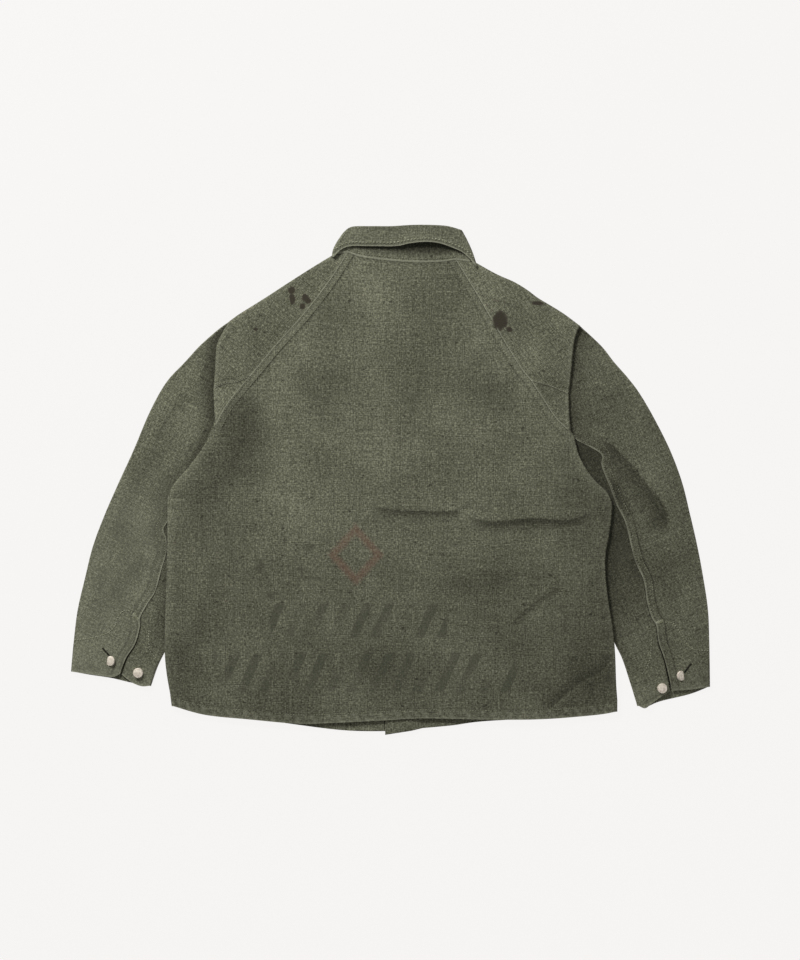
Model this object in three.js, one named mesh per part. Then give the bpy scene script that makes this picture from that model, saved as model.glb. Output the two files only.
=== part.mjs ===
import * as THREE from "three";

// Driving dimensions, in millimetres. The jacket lies on its front with its back upwards.
// +X is towards the right of the picture, +Y towards the collar, +Z up out of the back.
const CLOTH = 1.2; // one layer of the canvas
const COLLAR_CLOTH = 2.0; // the collar is two layers sewn together
const HEM_EXTRA = 0.9; // turned hem, how much thicker than the single cloth
const SEAM = 0.25; // each edge stops this far short of its seam line
const VENT_OPEN = 1.6; // how far each side of the sleeve vent stands off at the cuff
const BUTTON_RADIUS = 7.5;
const BUTTON_HEIGHT = 4;
const BUTTON_GAP = 0.3;
const BUTTON_TILT = 0.17; // radians, the two buttons that hold a cuff closed

// Height of the middle of each layer above the surface the jacket lies on.
const FLOOR = CLOTH / 2;
const SLEEVE_EDGE = 3.6;
const SLEEVE_CROWN = 1.4;
const RETURN = 6.6; // cloth turned under the fold, where it lies on a sleeve
const OVER_SLEEVE = 9.6; // back and shoulders where they lie on a sleeve
const BODY_EDGE = 3.6;
const BODY_CENTRE = 5.4;
const NECK_RISE = 1.4;
const LEAF_RISE = 2.3; // fronts where they lie on the collar leaf
const OVERLAP = 1.5; // one more layer at the centre front
const FALL = 10.6; // collar fall at its free edge
const ROLL_RADIUS = 2.3; // bend of the collar at its top
const FALL_LIFT = 4; // the fall stands off most right of the centre
const COLLAR_SPLIT = 6.4; // height at which the collar's sides are parted
const COLLAR_SIDE_BEND = 2.4;

// Where the layers climb: distances in from a border, or below zero outside it.
const SLEEVE_RAMP = [0, 35];
const BODY_RAMP = [0, 75];
const FRONT_RAMP = [-24, -8];
const RETURN_RAMP = [-34, -12];
const TOP_RAMP = [-55, -8];
const NECK_RAMP = [90, 210]; // heights on the jacket between which the collar leaves start to lift it
const NECK_SIDES = [125, 200]; // and how far from the neck's middle that fades
const BODY_HALF_WIDTH = 338;

const CANVAS = 0x5f5f51;
const METAL = 0xb9b2a6;

// Seam and edge lines of the two sides, from the collar down. They differ, as the jacket lies.
const LEFT = {
  flip: false,
  raglanUpper: [[-64, 340], [-94, 294], [-133, 244], [-170, 203], [-209, 156]],
  raglanLower: [[-209, 156], [-242, 116], [-260, 84]],
  shoulderLine: [[-90, 335], [-113, 321], [-151, 297], [-188, 273], [-226, 249], [-241, 238]],
  foldUpper: [[-241, 238], [-254, 216], [-260, 201], [-262, 178], [-263, 160], [-265, 136]],
  foldLower: [[-265, 136], [-264, 110], [-263, 92], [-265, 78]],
  crossSeam: [[-260, 139], [-248, 144], [-229, 147]],
  bodyEdge: [[-265, 75], [-275, 56], [-301, 21], [-321, -2], [-332, -21], [-334, -42], [-334, -82],
    [-335, -142], [-337, -202], [-338, -255], [-335, -291], [-330, -322]],
  hemLine: [-330, -323.5],
  hemCorner: [-328, -339],
  outer: [[-241, 238], [-259, 225], [-286, 201], [-308, 177], [-331, 153], [-347, 129], [-365, 93],
    [-385, 45], [-407, -3], [-428, -51], [-446, -99], [-458, -147], [-469, -195], [-475, -243], [-479, -287]],
  inner: [[-229, 45], [-245, -30], [-265, -92], [-301, -180], [-337, -255], [-349, -280], [-359, -309]],
  creaseUpper: [[-238, 231], [-232, 202], [-230, 135]],
  creaseLower: [[-230, 135], [-229, 56]],
  backSeam: [[-230, 135], [-263, 60], [-301, -15], [-334, -63], [-340, -74], [-336, -86], [-335, -99],
    [-336, -111], [-343, -134], [-352, -166], [-363, -184], [-375, -206], [-375, -220], [-382, -246],
    [-395, -267], [-404, -291]],
  topCuff: [[-451, -291], [-418, -295]],
  underCuff: [[-388, -303], [-373, -309]],
  frontCuff: [[-451, -292], [-418, -297], [-388, -304]],
  raglanFront: [[-76, 327], [-193, 33]],
  underFront: [[-193, 33], [-238, -30], [-265, -92], [-301, -180], [-337, -255], [-349, -280], [-359, -309]],
  sideSeam: [[-193, 33], [-211, -60], [-263, -180], [-293, -255], [-301, -322], [-301, -339]],
  ventTop: -206,
  leafSide: [[-71, 370], [-80, 357], [-86, 341]],
  leafPoint: [-60, 225],
  leafRoll: [[-58, 374], [14, 262]],
  buttons: [[-419, -271, BUTTON_TILT], [-378, -289, 0]],
};
const RIGHT = {
  flip: true,
  raglanUpper: [[98, 329], [128, 280], [160, 225], [193, 171], [211, 148]],
  raglanLower: [[211, 148], [229, 120], [247, 93], [264, 76]],
  shoulderLine: [[131, 319], [158, 309], [185, 297], [205, 285], [221, 273], [241, 261], [260, 249], [284, 231]],
  foldUpper: [[284, 231], [278, 218], [274, 198], [271, 165], [267, 129]],
  foldLower: [[267, 129], [268, 99], [270, 73]],
  crossSeam: [[254, 134], [238, 141]],
  bodyEdge: [[271, 70], [281, 40], [293, 17], [307, -2], [321, -15], [329, -27], [332, -42], [327, -84],
    [322, -112], [322, -142], [326, -180], [332, -218], [336, -255], [338, -303], [340, -330]],
  hemLine: [340, -331.5],
  hemCorner: [340, -347],
  outer: [[284, 231], [316, 201], [335, 177], [356, 153], [374, 129], [395, 93], [419, 45], [437, -3],
    [449, -51], [460, -99], [469, -147], [476, -195], [478, -243], [479, -310]],
  inner: [[233, 45], [250, -15], [268, -60], [311, -180], [334, -240], [347, -267], [359, -303], [370, -339]],
  creaseUpper: [[281, 224], [251, 195], [235, 112]],
  creaseLower: [[235, 112], [233, 52]],
  backSeam: [[235, 112], [272, 66], [290, 54], [307, 45], [317, 36], [316, 22], [328, -9], [338, -36],
    [352, -65], [365, -118], [379, -150], [384, -182], [391, -206], [398, -218], [401, -242], [410, -270],
    [417, -300], [420, -316]],
  topCuff: [[449, -314]],
  underCuff: [[394, -333], [382, -342]],
  frontCuff: [[449, -321], [404, -332], [382, -341]],
  raglanFront: [[116, 314], [203, 33]],
  underFront: [[203, 33], [244, -15], [268, -60], [311, -180], [334, -240], [347, -267], [359, -303], [370, -339]],
  sideSeam: [[203, 33], [224, -60], [269, -180], [299, -255], [308, -330], [308, -348]],
  ventTop: -218,
  leafSide: [[107, 374], [116, 357], [125, 330]],
  leafPoint: [100, 215],
  leafRoll: [[94, 377], [20, 262]],
  buttons: [[435, -293, BUTTON_TILT], [407, -312, 0]],
};
const BACK_NECK = [[-44, 334], [-15, 330], [16, 327], [50, 326], [80, 327]];
const BACK_HEM = [[-277, -352], [-208, -359], [-139, -365], [-91, -364], [-10, -360], [49, -357], [158, -359],
  [233, -358], [308, -352]];
const STAND_NECK = [[-82, 339.5], [-64, 340.5], [-44, 334.5], [-15, 330.5], [16, 327.5], [50, 326.5], [80, 327.5],
  [98, 330], [122, 327]];
const COLLAR_ROLL = [[-71, 370], [-58, 379], [-28, 380], [2, 380], [32, 381.8], [62, 381.8], [86, 380], [107, 374]];
const COLLAR_EDGE = [[-65, 349], [-32, 350], [8, 350], [29, 354], [52, 356], [73, 354], [94, 347], [110, 339]];
const COLLAR_LEFT = [[-71, 370], [-80, 357], [-86, 345], [-86, 339]];
const COLLAR_RIGHT = [[107, 374], [116, 357], [122, 342], [126, 326]];
const NECK_X = 17; // middle of the neck
// Centre front, as x and the heights of its upper and lower end.
const LEFT_EDGE = [29, 258, -376]; // centre edge of the front that lies lowest
const LAP_FOOT = [48, 272, -372]; // where the other front starts to rise over it
const LAP_STEP = [31, 266, -376]; // where it lies one layer higher
const RIGHT_EDGE = [-8, 258, -382]; // and its own centre edge
const LEFT_HEM = [[-208, -356], [-139, -367], [-58, -376]];
const RIGHT_HEM = [[233, -356], [137, -362], [92, -368]];
const FACING_TOP = 110;
const FACING_SHORT = 0.8; // each facing ends this far above the front's hem
const LEFT_FACING_X = -50;
const RIGHT_FACING_X = 46;

const STEPS = { raglanUpper: 12, raglanLower: 4, shoulderLine: 7, foldUpper: 5, bodyEdge: 13, sleeve: 17 };
const TURN = Math.PI / 180;
const QUARTER = [90, 60, 30].map((degrees) => degrees * TURN);
const HALF = [180, 150, 120, 90, 60, 30].map((degrees) => degrees * TURN);

const point2 = ([x, y]) => new THREE.Vector2(x, y);
const spaced = (points, steps) => new THREE.SplineCurve(points.map(point2)).getSpacedPoints(steps);
const smooth = (value, low, high) => THREE.MathUtils.smoothstep(value, low, high);
const mix = THREE.MathUtils.lerp;

// Joins lines end to end, each cut into its own number of steps.
function along(...parts) {
  const all = [];
  for (const [points, steps] of parts) {
    const next = spaced(points, steps);
    if (all.length && all[all.length - 1].distanceTo(next[0]) < 0.01) next.shift();
    all.push(...next);
  }
  return all;
}

// How far along its own length each point of a line is, from 0 to 1.
function shares(line) {
  const lengths = [0];
  for (let i = 1; i < line.length; i += 1) lengths.push(lengths[i - 1] + line[i].distanceTo(line[i - 1]));
  return lengths.map((length) => length / lengths[lengths.length - 1]);
}

// A flat net of points between two side lines and two end lines, in rows from one side to the other.
function net(outer, inner, topMiddle, bottomMiddle, columns) {
  const last = outer.length - 1;
  const ends = [[outer[0], topMiddle, inner[0]], [outer[last], bottomMiddle, inner[last]]];
  const [top, bottom] = ends.map(([a, middle, b]) => spaced([a.toArray(), ...middle, b.toArray()], columns));
  const outerShare = shares(outer);
  const innerShare = shares(inner);
  return outer.map((outerPoint, i) => {
    const v = (outerShare[i] + innerShare[i]) / 2;
    return top.map((topPoint, j) => {
      const u = j / columns;
      const sides = outerPoint.clone().lerp(inner[i], u);
      const endings = topPoint.clone().lerp(bottom[j], v);
      const corners = top[0].clone().lerp(top[columns], u).lerp(bottom[0].clone().lerp(bottom[columns], u), v);
      return sides.add(endings).sub(corners);
    });
  });
}

// The same line with one end drawn in by the seam gap.
function shortened(line, end) {
  const [last, next] = end === "start" ? [0, 1] : [line.length - 1, line.length - 2];
  line[last].add(line[next].clone().sub(line[last]).setLength(SEAM));
  return line;
}

// Draws one border of a net in by the seam gap; amount may change from row to row.
function drawIn(rows, border, amount = () => SEAM) {
  const last = rows.length - 1;
  const end = rows[0].length - 1;
  const move = (point, towards, distance) => point.add(towards.clone().sub(point).setLength(distance));
  if (border === "top") rows[0].forEach((point, j) => move(point, rows[1][j], amount(j)));
  if (border === "bottom") rows[last].forEach((point, j) => move(point, rows[last - 1][j], amount(j)));
  if (border === "outer") rows.forEach((row, i) => move(row[0], row[1], amount(i)));
  if (border === "inner") rows.forEach((row, i) => move(row[end], row[end - 1], amount(i)));
  return rows;
}

// Distance of a place from the border of a flat shape, above zero inside it.
function depthInside(shape, x, y) {
  let nearest = Infinity;
  let inside = false;
  shape.forEach((a, i) => {
    const b = shape[(i + 1) % shape.length];
    const [dx, dy] = [b.x - a.x, b.y - a.y];
    const t = THREE.MathUtils.clamp(((x - a.x) * dx + (y - a.y) * dy) / (dx * dx + dy * dy || 1), 0, 1);
    nearest = Math.min(nearest, Math.hypot(x - a.x - t * dx, y - a.y - t * dy));
    if (a.y > y !== b.y > y && x < a.x + ((y - a.y) / dy) * dx) inside = !inside;
  });
  return inside ? nearest : -nearest;
}

// The ground that each sleeve and its front half cover; the layers above rise over it.
const sleeveShapes = [LEFT, RIGHT].map((side) => [
  ...along([side.outer, 40], [[side.outer[side.outer.length - 1], ...side.topCuff, ...side.underCuff,
    side.inner[side.inner.length - 1]], 8]),
  ...along([side.inner, 30]).reverse(),
  ...along([side.creaseUpper, 8]).reverse(),
]);
const frontShapes = [LEFT, RIGHT].map((side) =>
  [...along([side.raglanFront, 4], [side.underFront, 20]), point2(side.outer[6]), point2(side.outer[0])]);
const depthIn = (shapes, x, y) => Math.max(...shapes.map((shape) => depthInside(shape, x, y)));

const nearNeck = (x, y) => smooth(y, ...NECK_RAMP) * (1 - smooth(Math.abs(x - NECK_X), ...NECK_SIDES));
const floorHeight = (x, y) => FLOOR + LEAF_RISE * nearNeck(x, y);
const sleeveHeight = (x, y) => SLEEVE_EDGE + SLEEVE_CROWN * smooth(depthIn(sleeveShapes, x, y), ...SLEEVE_RAMP);
function returnHeight(x, y) {
  const ground = FLOOR + OVERLAP * smooth(depthIn(frontShapes, x, y), ...FRONT_RAMP);
  return mix(ground, RETURN, smooth(depthIn(sleeveShapes, x, y), ...RETURN_RAMP));
}
function topHeight(x, y) {
  const base = mix(BODY_EDGE, BODY_CENTRE, smooth(BODY_HALF_WIDTH - Math.abs(x), ...BODY_RAMP));
  return mix(base + NECK_RISE * nearNeck(x, y), OVER_SLEEVE, smooth(depthIn(sleeveShapes, x, y), ...TOP_RAMP));
}
function lapHeight(x, y) {
  const climbed = (LAP_FOOT[0] - x) / (LAP_FOOT[0] - LAP_STEP[0]);
  return floorHeight(x, y) + OVERLAP * THREE.MathUtils.clamp(climbed, 0, 1);
}

const raise = (rows, height) => rows.map((row) =>
  row.map((point) => new THREE.Vector3(point.x, point.y, height(point.x, point.y))));

// Unit direction out of the cloth at one place of its border line.
function outward(line, i, insidePoint) {
  const before = line[Math.max(i - 1, 0)];
  const after = line[Math.min(i + 1, line.length - 1)];
  const direction = new THREE.Vector2(after.y - before.y, before.x - after.x).normalize();
  const away = line[i].clone().sub(insidePoint);
  return direction.dot(away) < 0 ? direction.negate() : direction;
}

// Rolls one row of cloth over at its border. The row is pulled back so that the roll's outside
// ends on the border; the points of the roll come back outermost first.
function rollOver(row, index, border, out, angles, lower, options = {}) {
  const { thickness = CLOTH, parting = 0, bend } = options;
  const flat = row[index];
  const radius = bend ?? Math.abs(flat.z - lower) / 2;
  flat.x = border.x - out.x * (radius + thickness / 2);
  flat.y = border.y - out.y * (radius + thickness / 2);
  const drop = (radius - parting) * Math.sign(lower - flat.z);
  return angles.map((angle) => new THREE.Vector3(
    flat.x + out.x * radius * Math.sin(angle),
    flat.y + out.y * radius * Math.sin(angle),
    flat.z + drop * (1 - Math.cos(angle)),
  ));
}

// Cloth that goes on from a roll to its own seam line, lying on what is under it.
function turnedUnder(start, end, parts) {
  const reach = start.distanceTo(end);
  const stop = end.clone().lerp(start, Math.min(SEAM / reach, 0.5));
  return parts.map((t) => {
    const place = start.clone().lerp(stop, t);
    return new THREE.Vector3(place.x, place.y, returnHeight(place.x, place.y));
  });
}

const nothing = (count) => Array(count).fill(null);
const flat2 = (point) => new THREE.Vector2(point.x, point.y);

// A closed wall of cloth on a net of points; a missing point leaves its squares out.
function wall(name, rows, options = {}) {
  const { thickness = CLOTH, extra = () => 0, color = CANVAS } = options;
  const full = (i, j) => rows[i][j] && rows[i][j + 1] && rows[i + 1][j] && rows[i + 1][j + 1];
  const squares = [];
  for (let i = 0; i + 1 < rows.length; i += 1) {
    for (let j = 0; j + 1 < rows[0].length; j += 1) if (full(i, j)) squares.push([i, j]);
  }
  const used = new Map();
  const normals = [];
  const places = [];
  const number = (i, j) => {
    const key = i * 1000 + j;
    if (!used.has(key)) {
      used.set(key, places.length);
      places.push([rows[i][j], extra(i, j)]);
      normals.push(new THREE.Vector3());
    }
    return used.get(key);
  };
  const faces = squares.map(([i, j]) => {
    const corners = [number(i, j), number(i + 1, j), number(i + 1, j + 1), number(i, j + 1)];
    const [a, b, c, d] = corners.map((corner) => places[corner][0]);
    const normal = c.clone().sub(a).cross(d.clone().sub(b)).normalize();
    corners.forEach((corner) => normals[corner].add(normal));
    return corners;
  });
  const count = places.length;
  const positions = [];
  for (const sign of [1, -1]) {
    places.forEach(([place, more], i) => {
      const distance = sign > 0 ? thickness / 2 + more : -thickness / 2;
      positions.push(...place.clone().addScaledVector(normals[i].normalize(), distance).toArray());
    });
  }
  const index = [];
  const borders = new Map();
  for (const [a, b, c, d] of faces) {
    index.push(a, b, c, a, c, d, a + count, c + count, b + count, a + count, d + count, c + count);
    for (const [p, q] of [[a, b], [b, c], [c, d], [d, a]]) {
      if (borders.has(q * 100000 + p)) borders.delete(q * 100000 + p);
      else borders.set(p * 100000 + q, [p, q]);
    }
  }
  for (const [p, q] of borders.values()) index.push(q, p, p + count, q, p + count, q + count);
  return solid(name, positions, index, color);
}

function solid(name, positions, index, color) {
  const geometry = new THREE.BufferGeometry();
  geometry.setAttribute("position", new THREE.Float32BufferAttribute(positions, 3));
  geometry.setIndex(index);
  geometry.computeVertexNormals();
  const metal = color === METAL;
  const material = new THREE.MeshStandardMaterial({ color, metalness: metal ? 0.9 : 0, roughness: metal ? 0.4 : 0.9 });
  const mesh = new THREE.Mesh(geometry, material);
  mesh.name = name;
  return mesh;
}

const jacket = new THREE.Group();
jacket.name = "raglan_jacket";
const across = (side, rows) => (side.flip ? rows.map((row) => [...row].reverse()) : rows);
const addCloth = (name, side, rows, options) => jacket.add(wall(name, across(side, rows), options));

// Back: one wide panel. Below the raglan seams its sides fold under and go on to the side seams.
const backLines = [LEFT, RIGHT].map((side) => along(
  [side.raglanUpper, STEPS.raglanUpper],
  [side.raglanLower, STEPS.raglanLower],
  [side.bodyEdge, STEPS.bodyEdge],
  [[side.bodyEdge[side.bodyEdge.length - 1], side.hemLine], 1],
  [[side.hemLine, side.hemCorner], 1],
));
const FIRST_FOLD = STEPS.raglanUpper + STEPS.raglanLower + 1;
const RETURN_PARTS = [1, 0.8, 0.55, 0.28];
const sideLines = [LEFT, RIGHT].map((side) => along([side.sideSeam, backLines[0].length - 1 - FIRST_FOLD]));
const backNet = net(backLines[0], backLines[1], BACK_NECK, BACK_HEM, 20);
drawIn(backNet, "top");
drawIn(backNet, "outer");
drawIn(backNet, "inner");
const backRows = raise(backNet, topHeight).map((row, i) => {
  const edges = [0, row.length - 1].map((index, s) => {
    if (i < FIRST_FOLD) return nothing(HALF.length + RETURN_PARTS.length);
    const border = backLines[s][i];
    const out = outward(backLines[s], i, backLines[1 - s][i]);
    if (i === FIRST_FOLD) out.set(s ? 0.95 : -0.95, -0.3).normalize();
    const low = returnHeight(border.x, border.y);
    const roll = rollOver(row, index, border, out, HALF, low);
    return [...turnedUnder(flat2(row[index]), sideLines[s][i - FIRST_FOLD], RETURN_PARTS), ...roll];
  });
  return [...edges[0], ...row, ...edges[1].reverse()];
});
const firstMain = HALF.length + RETURN_PARTS.length;
const hemExtra = (i, j) => (i >= backRows.length - 2 && j > firstMain && j < firstMain + 20 ? HEM_EXTRA : 0);
jacket.add(wall("back", backRows, { extra: hemExtra }));

for (const [side, label] of [[LEFT, "left"], [RIGHT, "right"]]) {
  // Shoulder: the top of the top sleeve, from the neck to the seam across the shoulder. Beside the
  // neck it rolls over the shoulder line; further down it folds back on the sleeve below it.
  const shoulderLine = along([side.shoulderLine, STEPS.shoulderLine], [side.foldUpper, STEPS.foldUpper]);
  const shoulderEdge = shortened(shoulderLine.map((point) => point.clone()), "end");
  const raglan = along([side.raglanUpper, STEPS.raglanUpper]);
  const shoulderNet = net(shoulderLine, raglan, [], side.crossSeam, 6);
  for (const border of ["inner", "top", "bottom"]) drawIn(shoulderNet, border);
  const creaseUpper = shortened(along([side.creaseUpper, STEPS.foldUpper]), "end");
  const shoulderRows = raise(shoulderNet, topHeight).map((row, i) => {
    const border = shoulderEdge[i];
    const out = outward(shoulderLine, i, raglan[i]);
    if (i < STEPS.shoulderLine) {
      const roll = rollOver(row, 0, border, out, QUARTER, floorHeight(border.x, border.y), { parting: 0.3 });
      return [...nothing(5), ...roll, ...row];
    }
    const roll = rollOver(row, 0, border, out, HALF, returnHeight(border.x, border.y));
    return [...turnedUnder(flat2(row[0]), creaseUpper[i - STEPS.shoulderLine], [1, 0.5]), ...roll, ...row];
  });
  addCloth(`shoulder_${label}`, side, shoulderRows);

  // Underarm: the top of the under sleeve, below the seam across the shoulder, on the same fold.
  const foldLower = along([side.foldLower, STEPS.raglanLower]);
  const foldEdge = shortened(foldLower.map((point) => point.clone()), "start");
  const raglanLower = along([side.raglanLower, STEPS.raglanLower]);
  const underarmNet = net(foldLower, raglanLower, side.crossSeam, [], 6);
  for (const border of ["inner", "top", "bottom"]) drawIn(underarmNet, border);
  const creaseLower = shortened(along([side.creaseLower, STEPS.raglanLower]), "start");
  const underarmRows = raise(underarmNet, topHeight).map((row, i) => {
    const out = outward(foldLower, i, raglanLower[i]);
    const flat = row[0].clone();
    const roll = rollOver(row, 0, foldEdge[i], out, HALF, returnHeight(foldLower[i].x, foldLower[i].y));
    const shift = row[0].clone().sub(flat);
    row.forEach((point, j) => j && point.addScaledVector(shift, 1 - j / (row.length - 1)));
    return [...turnedUnder(flat2(row[0]), creaseLower[i], [1, 0.5]), ...roll, ...row];
  });
  addCloth(`underarm_${label}`, side, underarmRows);

  // Top sleeve: the outer half of the sleeve's back, from under the fold to the cuff.
  const creaseSteps = 4;
  const seamSteps = STEPS.sleeve - creaseSteps;
  const outerLine = along([side.outer, STEPS.sleeve]);
  const seamLine = along([side.backSeam, seamSteps]);
  const topInner = along([side.creaseUpper, creaseSteps], [side.backSeam, seamSteps]);
  const low = side.backSeam[side.backSeam.length - 1][1];
  const openVent = (point) => SEAM + VENT_OPEN * Math.max(0, (side.ventTop - point.y) / (side.ventTop - low));
  const topNet = net(outerLine, topInner, [], side.topCuff, 6);
  drawIn(topNet, "inner", (i) => openVent(topInner[i]));
  const topRows = raise(topNet, sleeveHeight).map((row, i) => {
    const out = outward(outerLine, i, topInner[i]);
    return [...rollOver(row, 0, outerLine[i], out, QUARTER, FLOOR, { parting: 0.3 }), ...row];
  });
  addCloth(`top_sleeve_${label}`, side, topRows);

  // Under sleeve: the inner half of the sleeve's back; its inner edge rolls over to the front.
  const innerLine = along([side.inner, seamSteps]);
  const underNet = net(seamLine, innerLine, [], side.underCuff, 5);
  drawIn(underNet, "outer", (i) => openVent(seamLine[i]));
  const underRows = raise(underNet, sleeveHeight).map((row, i) => {
    const out = outward(innerLine, i, seamLine[i]);
    const roll = rollOver(row, row.length - 1, innerLine[i], out, QUARTER, FLOOR, { parting: 0.3 });
    return [...row, ...roll.reverse()];
  });
  addCloth(`under_sleeve_${label}`, side, underRows);

  // Sleeve front: the half that lies on the floor, rolled up along its outer and inner edges.
  const frontOuter = along([side.shoulderLine, STEPS.shoulderLine], [side.outer, STEPS.sleeve]);
  const raglanSteps = 10;
  const frontInner = along([side.raglanFront, raglanSteps], [side.underFront, frontOuter.length - 1 - raglanSteps]);
  const frontNet = net(frontOuter, frontInner, [], side.frontCuff, 5);
  drawIn(frontNet, "inner");
  const frontRows = raise(frontNet, floorHeight).map((row, i) => {
    const border = frontOuter[i];
    const over = i < STEPS.shoulderLine ? topHeight(border.x, border.y) : SLEEVE_EDGE;
    const outerRoll = rollOver(row, 0, border, outward(frontOuter, i, frontInner[i]), QUARTER, over, { parting: 0.3 });
    if (frontInner[i].y > side.inner[2][1] + 5) return [...outerRoll, ...row, ...nothing(QUARTER.length)];
    const out = outward(frontInner, i, frontOuter[i]);
    const innerRoll = rollOver(row, row.length - 1, frontInner[i], out, QUARTER, SLEEVE_EDGE, { parting: 0.3 });
    return [...outerRoll, ...row, ...innerRoll.reverse()];
  });
  addCloth(`sleeve_front_${label}`, side, frontRows);

  // Cuff underlap: the strip that carries the button, under the open vent.
  const ventLine = seamLine.filter((point) => point.y < side.ventTop + 6);
  const lapRows = ventLine.map((point, i) => {
    const out = outward(ventLine, i, innerLine[seamSteps]);
    const end = i === ventLine.length - 1 ? 3 : 0;
    return [16, 6, -6].map((offset) =>
      new THREE.Vector3(point.x + out.x * offset, point.y + out.y * offset + end, FLOOR + OVERLAP));
  });
  addCloth(`cuff_underlap_${label}`, side, lapRows);

  // Front: one panel from the front raglan and side seams to its centre edge.
  const sideSteps = backLines[0].length - 1 - FIRST_FOLD;
  const panelOuter = along([side.raglanFront, 8], [side.sideSeam, sideSteps]);
  const [edgeX, edgeTop, edgeLow] = side.flip ? LAP_FOOT : LEFT_EDGE;
  const panelInner = along([[[edgeX, edgeTop], [edgeX, edgeLow]], panelOuter.length - 1]);
  const panelNet = net(panelOuter, panelInner, [], side.flip ? RIGHT_HEM : LEFT_HEM, 5);
  drawIn(panelNet, "outer");
  if (side.flip) {
    panelNet.forEach((row, i) => {
      const t = i / (panelNet.length - 1);
      for (const [x, top, low] of [LAP_STEP, RIGHT_EDGE]) row.push(new THREE.Vector2(x, mix(top, low, t)));
    });
  }
  addCloth(`front_${label}`, side, raise(panelNet, side.flip ? lapHeight : floorHeight));

  // Facing: the strip sewn inside the centre edge; its lower end shows below the back hem.
  const facingEdges = side.flip ? [[RIGHT_FACING_X, LAP_FOOT[2]], [LAP_STEP[0], LAP_STEP[2] + FACING_SHORT],
    [RIGHT_EDGE[0], RIGHT_EDGE[2] + FACING_SHORT]]
    : [[LEFT_FACING_X, LEFT_EDGE[2] + FACING_SHORT], [RIGHT_EDGE[0] - OVERLAP, LEFT_EDGE[2]]];
  const facingRows = along([[[0, 0], [0, 1]], 8]).map(({ y }) =>
    facingEdges.map(([x, end]) => {
      const under = side.flip ? lapHeight(x, 0) : FLOOR;
      return new THREE.Vector3(x, mix(FACING_TOP, end, y), under + OVERLAP);
    }));
  addCloth(`facing_${label}`, side, facingRows);

  // Collar leaf: the collar's front half, spread on the chest, its side turned up to meet the fall.
  const leafLine = along([side.leafSide, 4], [[side.leafSide[2], side.leafPoint], 3]);
  const leafRoll = along([side.leafRoll, 7]);
  const leafNet = net(leafLine, leafRoll, [], [], 4);
  const leafRows = raise(leafNet, () => COLLAR_CLOTH / 2).map((row, i) => {
    if (i > 4) return [...nothing(4), ...row];
    const out = outward(leafLine.slice(0, 5), i, leafRoll[i]);
    const roll = rollOver(row, 0, leafLine[i], out, QUARTER, 9, { thickness: COLLAR_CLOTH, bend: COLLAR_SIDE_BEND });
    const end = roll[0].clone().setZ(COLLAR_SPLIT - 0.15);
    return [end, ...roll, ...row];
  });
  addCloth(`collar_front_${label}`, side, leafRows, { thickness: COLLAR_CLOTH });

  // Buttons: domed metal caps, each resting on the cloth under it.
  side.buttons.forEach(([x, y, tilt], i) => {
    const rim = [0, 1, 2, 3, 4, 5, 6, 7].map((k) => (k * Math.PI) / 4);
    const foot = BUTTON_RADIUS * 0.84;
    const under = rim.map((a) => sleeveHeight(x + foot * Math.cos(a), y + foot * Math.sin(a))
      - foot * Math.sin(a) * Math.sin(tilt));
    const rest = Math.max(...under) + CLOTH / 2 + BUTTON_GAP;
    const profile = [[0, 0], [0.84, 0], [1, 0.2], [1, 0.5], [0.86, 0.78], [0.6, 0.92], [0, 1]];
    const shape = profile.map(([r, h]) => new THREE.Vector2(r * BUTTON_RADIUS, h * BUTTON_HEIGHT));
    const cap = new THREE.LatheGeometry(shape, 18);
    cap.rotateX(Math.PI / 2);
    cap.rotateX(tilt);
    cap.translate(x, y, rest);
    jacket.add(solid(`button_${label}_${i + 1}`, cap.attributes.position.array, [...cap.index.array], METAL));
  });
}

// Collar, back half: the stand from the neck seam, the roll at its top, and the fall over it.
const COLLAR_COLUMNS = 22;
const fallLine = along([COLLAR_LEFT, 4]);
const fallEnd = along([COLLAR_RIGHT, 4]);
const fallNet = net(fallLine, fallEnd, COLLAR_ROLL.slice(1, -1), COLLAR_EDGE, COLLAR_COLUMNS);
const rollLine = fallNet[0].map((point) => point.clone());
const neckLine = spaced(STAND_NECK, COLLAR_COLUMNS);
const rollHeight = BODY_CENTRE + NECK_RISE + 0.6;
const fallTop = rollHeight + 2 * ROLL_RADIUS;
const pulledIn = rollLine.map((point, j) =>
  point.clone().addScaledVector(outward(rollLine, j, neckLine[j]), -(ROLL_RADIUS + COLLAR_CLOTH / 2)));
const standRows = [0, 0.5, 1].map((t) => [...nothing(4), ...pulledIn.map((top, j) => {
  if (j === 0 || j === COLLAR_COLUMNS) return null;
  const place = neckLine[j].clone().lerp(top, t);
  return new THREE.Vector3(place.x, place.y, mix(BODY_CENTRE + NECK_RISE, rollHeight, t));
}), ...nothing(4)]);
const rollRows = [30, 60, 90, 120, 150].map((degrees) => [...nothing(4), ...pulledIn.map((top, j) => {
  const out = outward(rollLine, j, neckLine[j]).multiplyScalar(ROLL_RADIUS * Math.sin(degrees * TURN));
  return new THREE.Vector3(top.x + out.x, top.y + out.y, rollHeight + ROLL_RADIUS * (1 - Math.cos(degrees * TURN)));
}), ...nothing(4)]);
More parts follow.
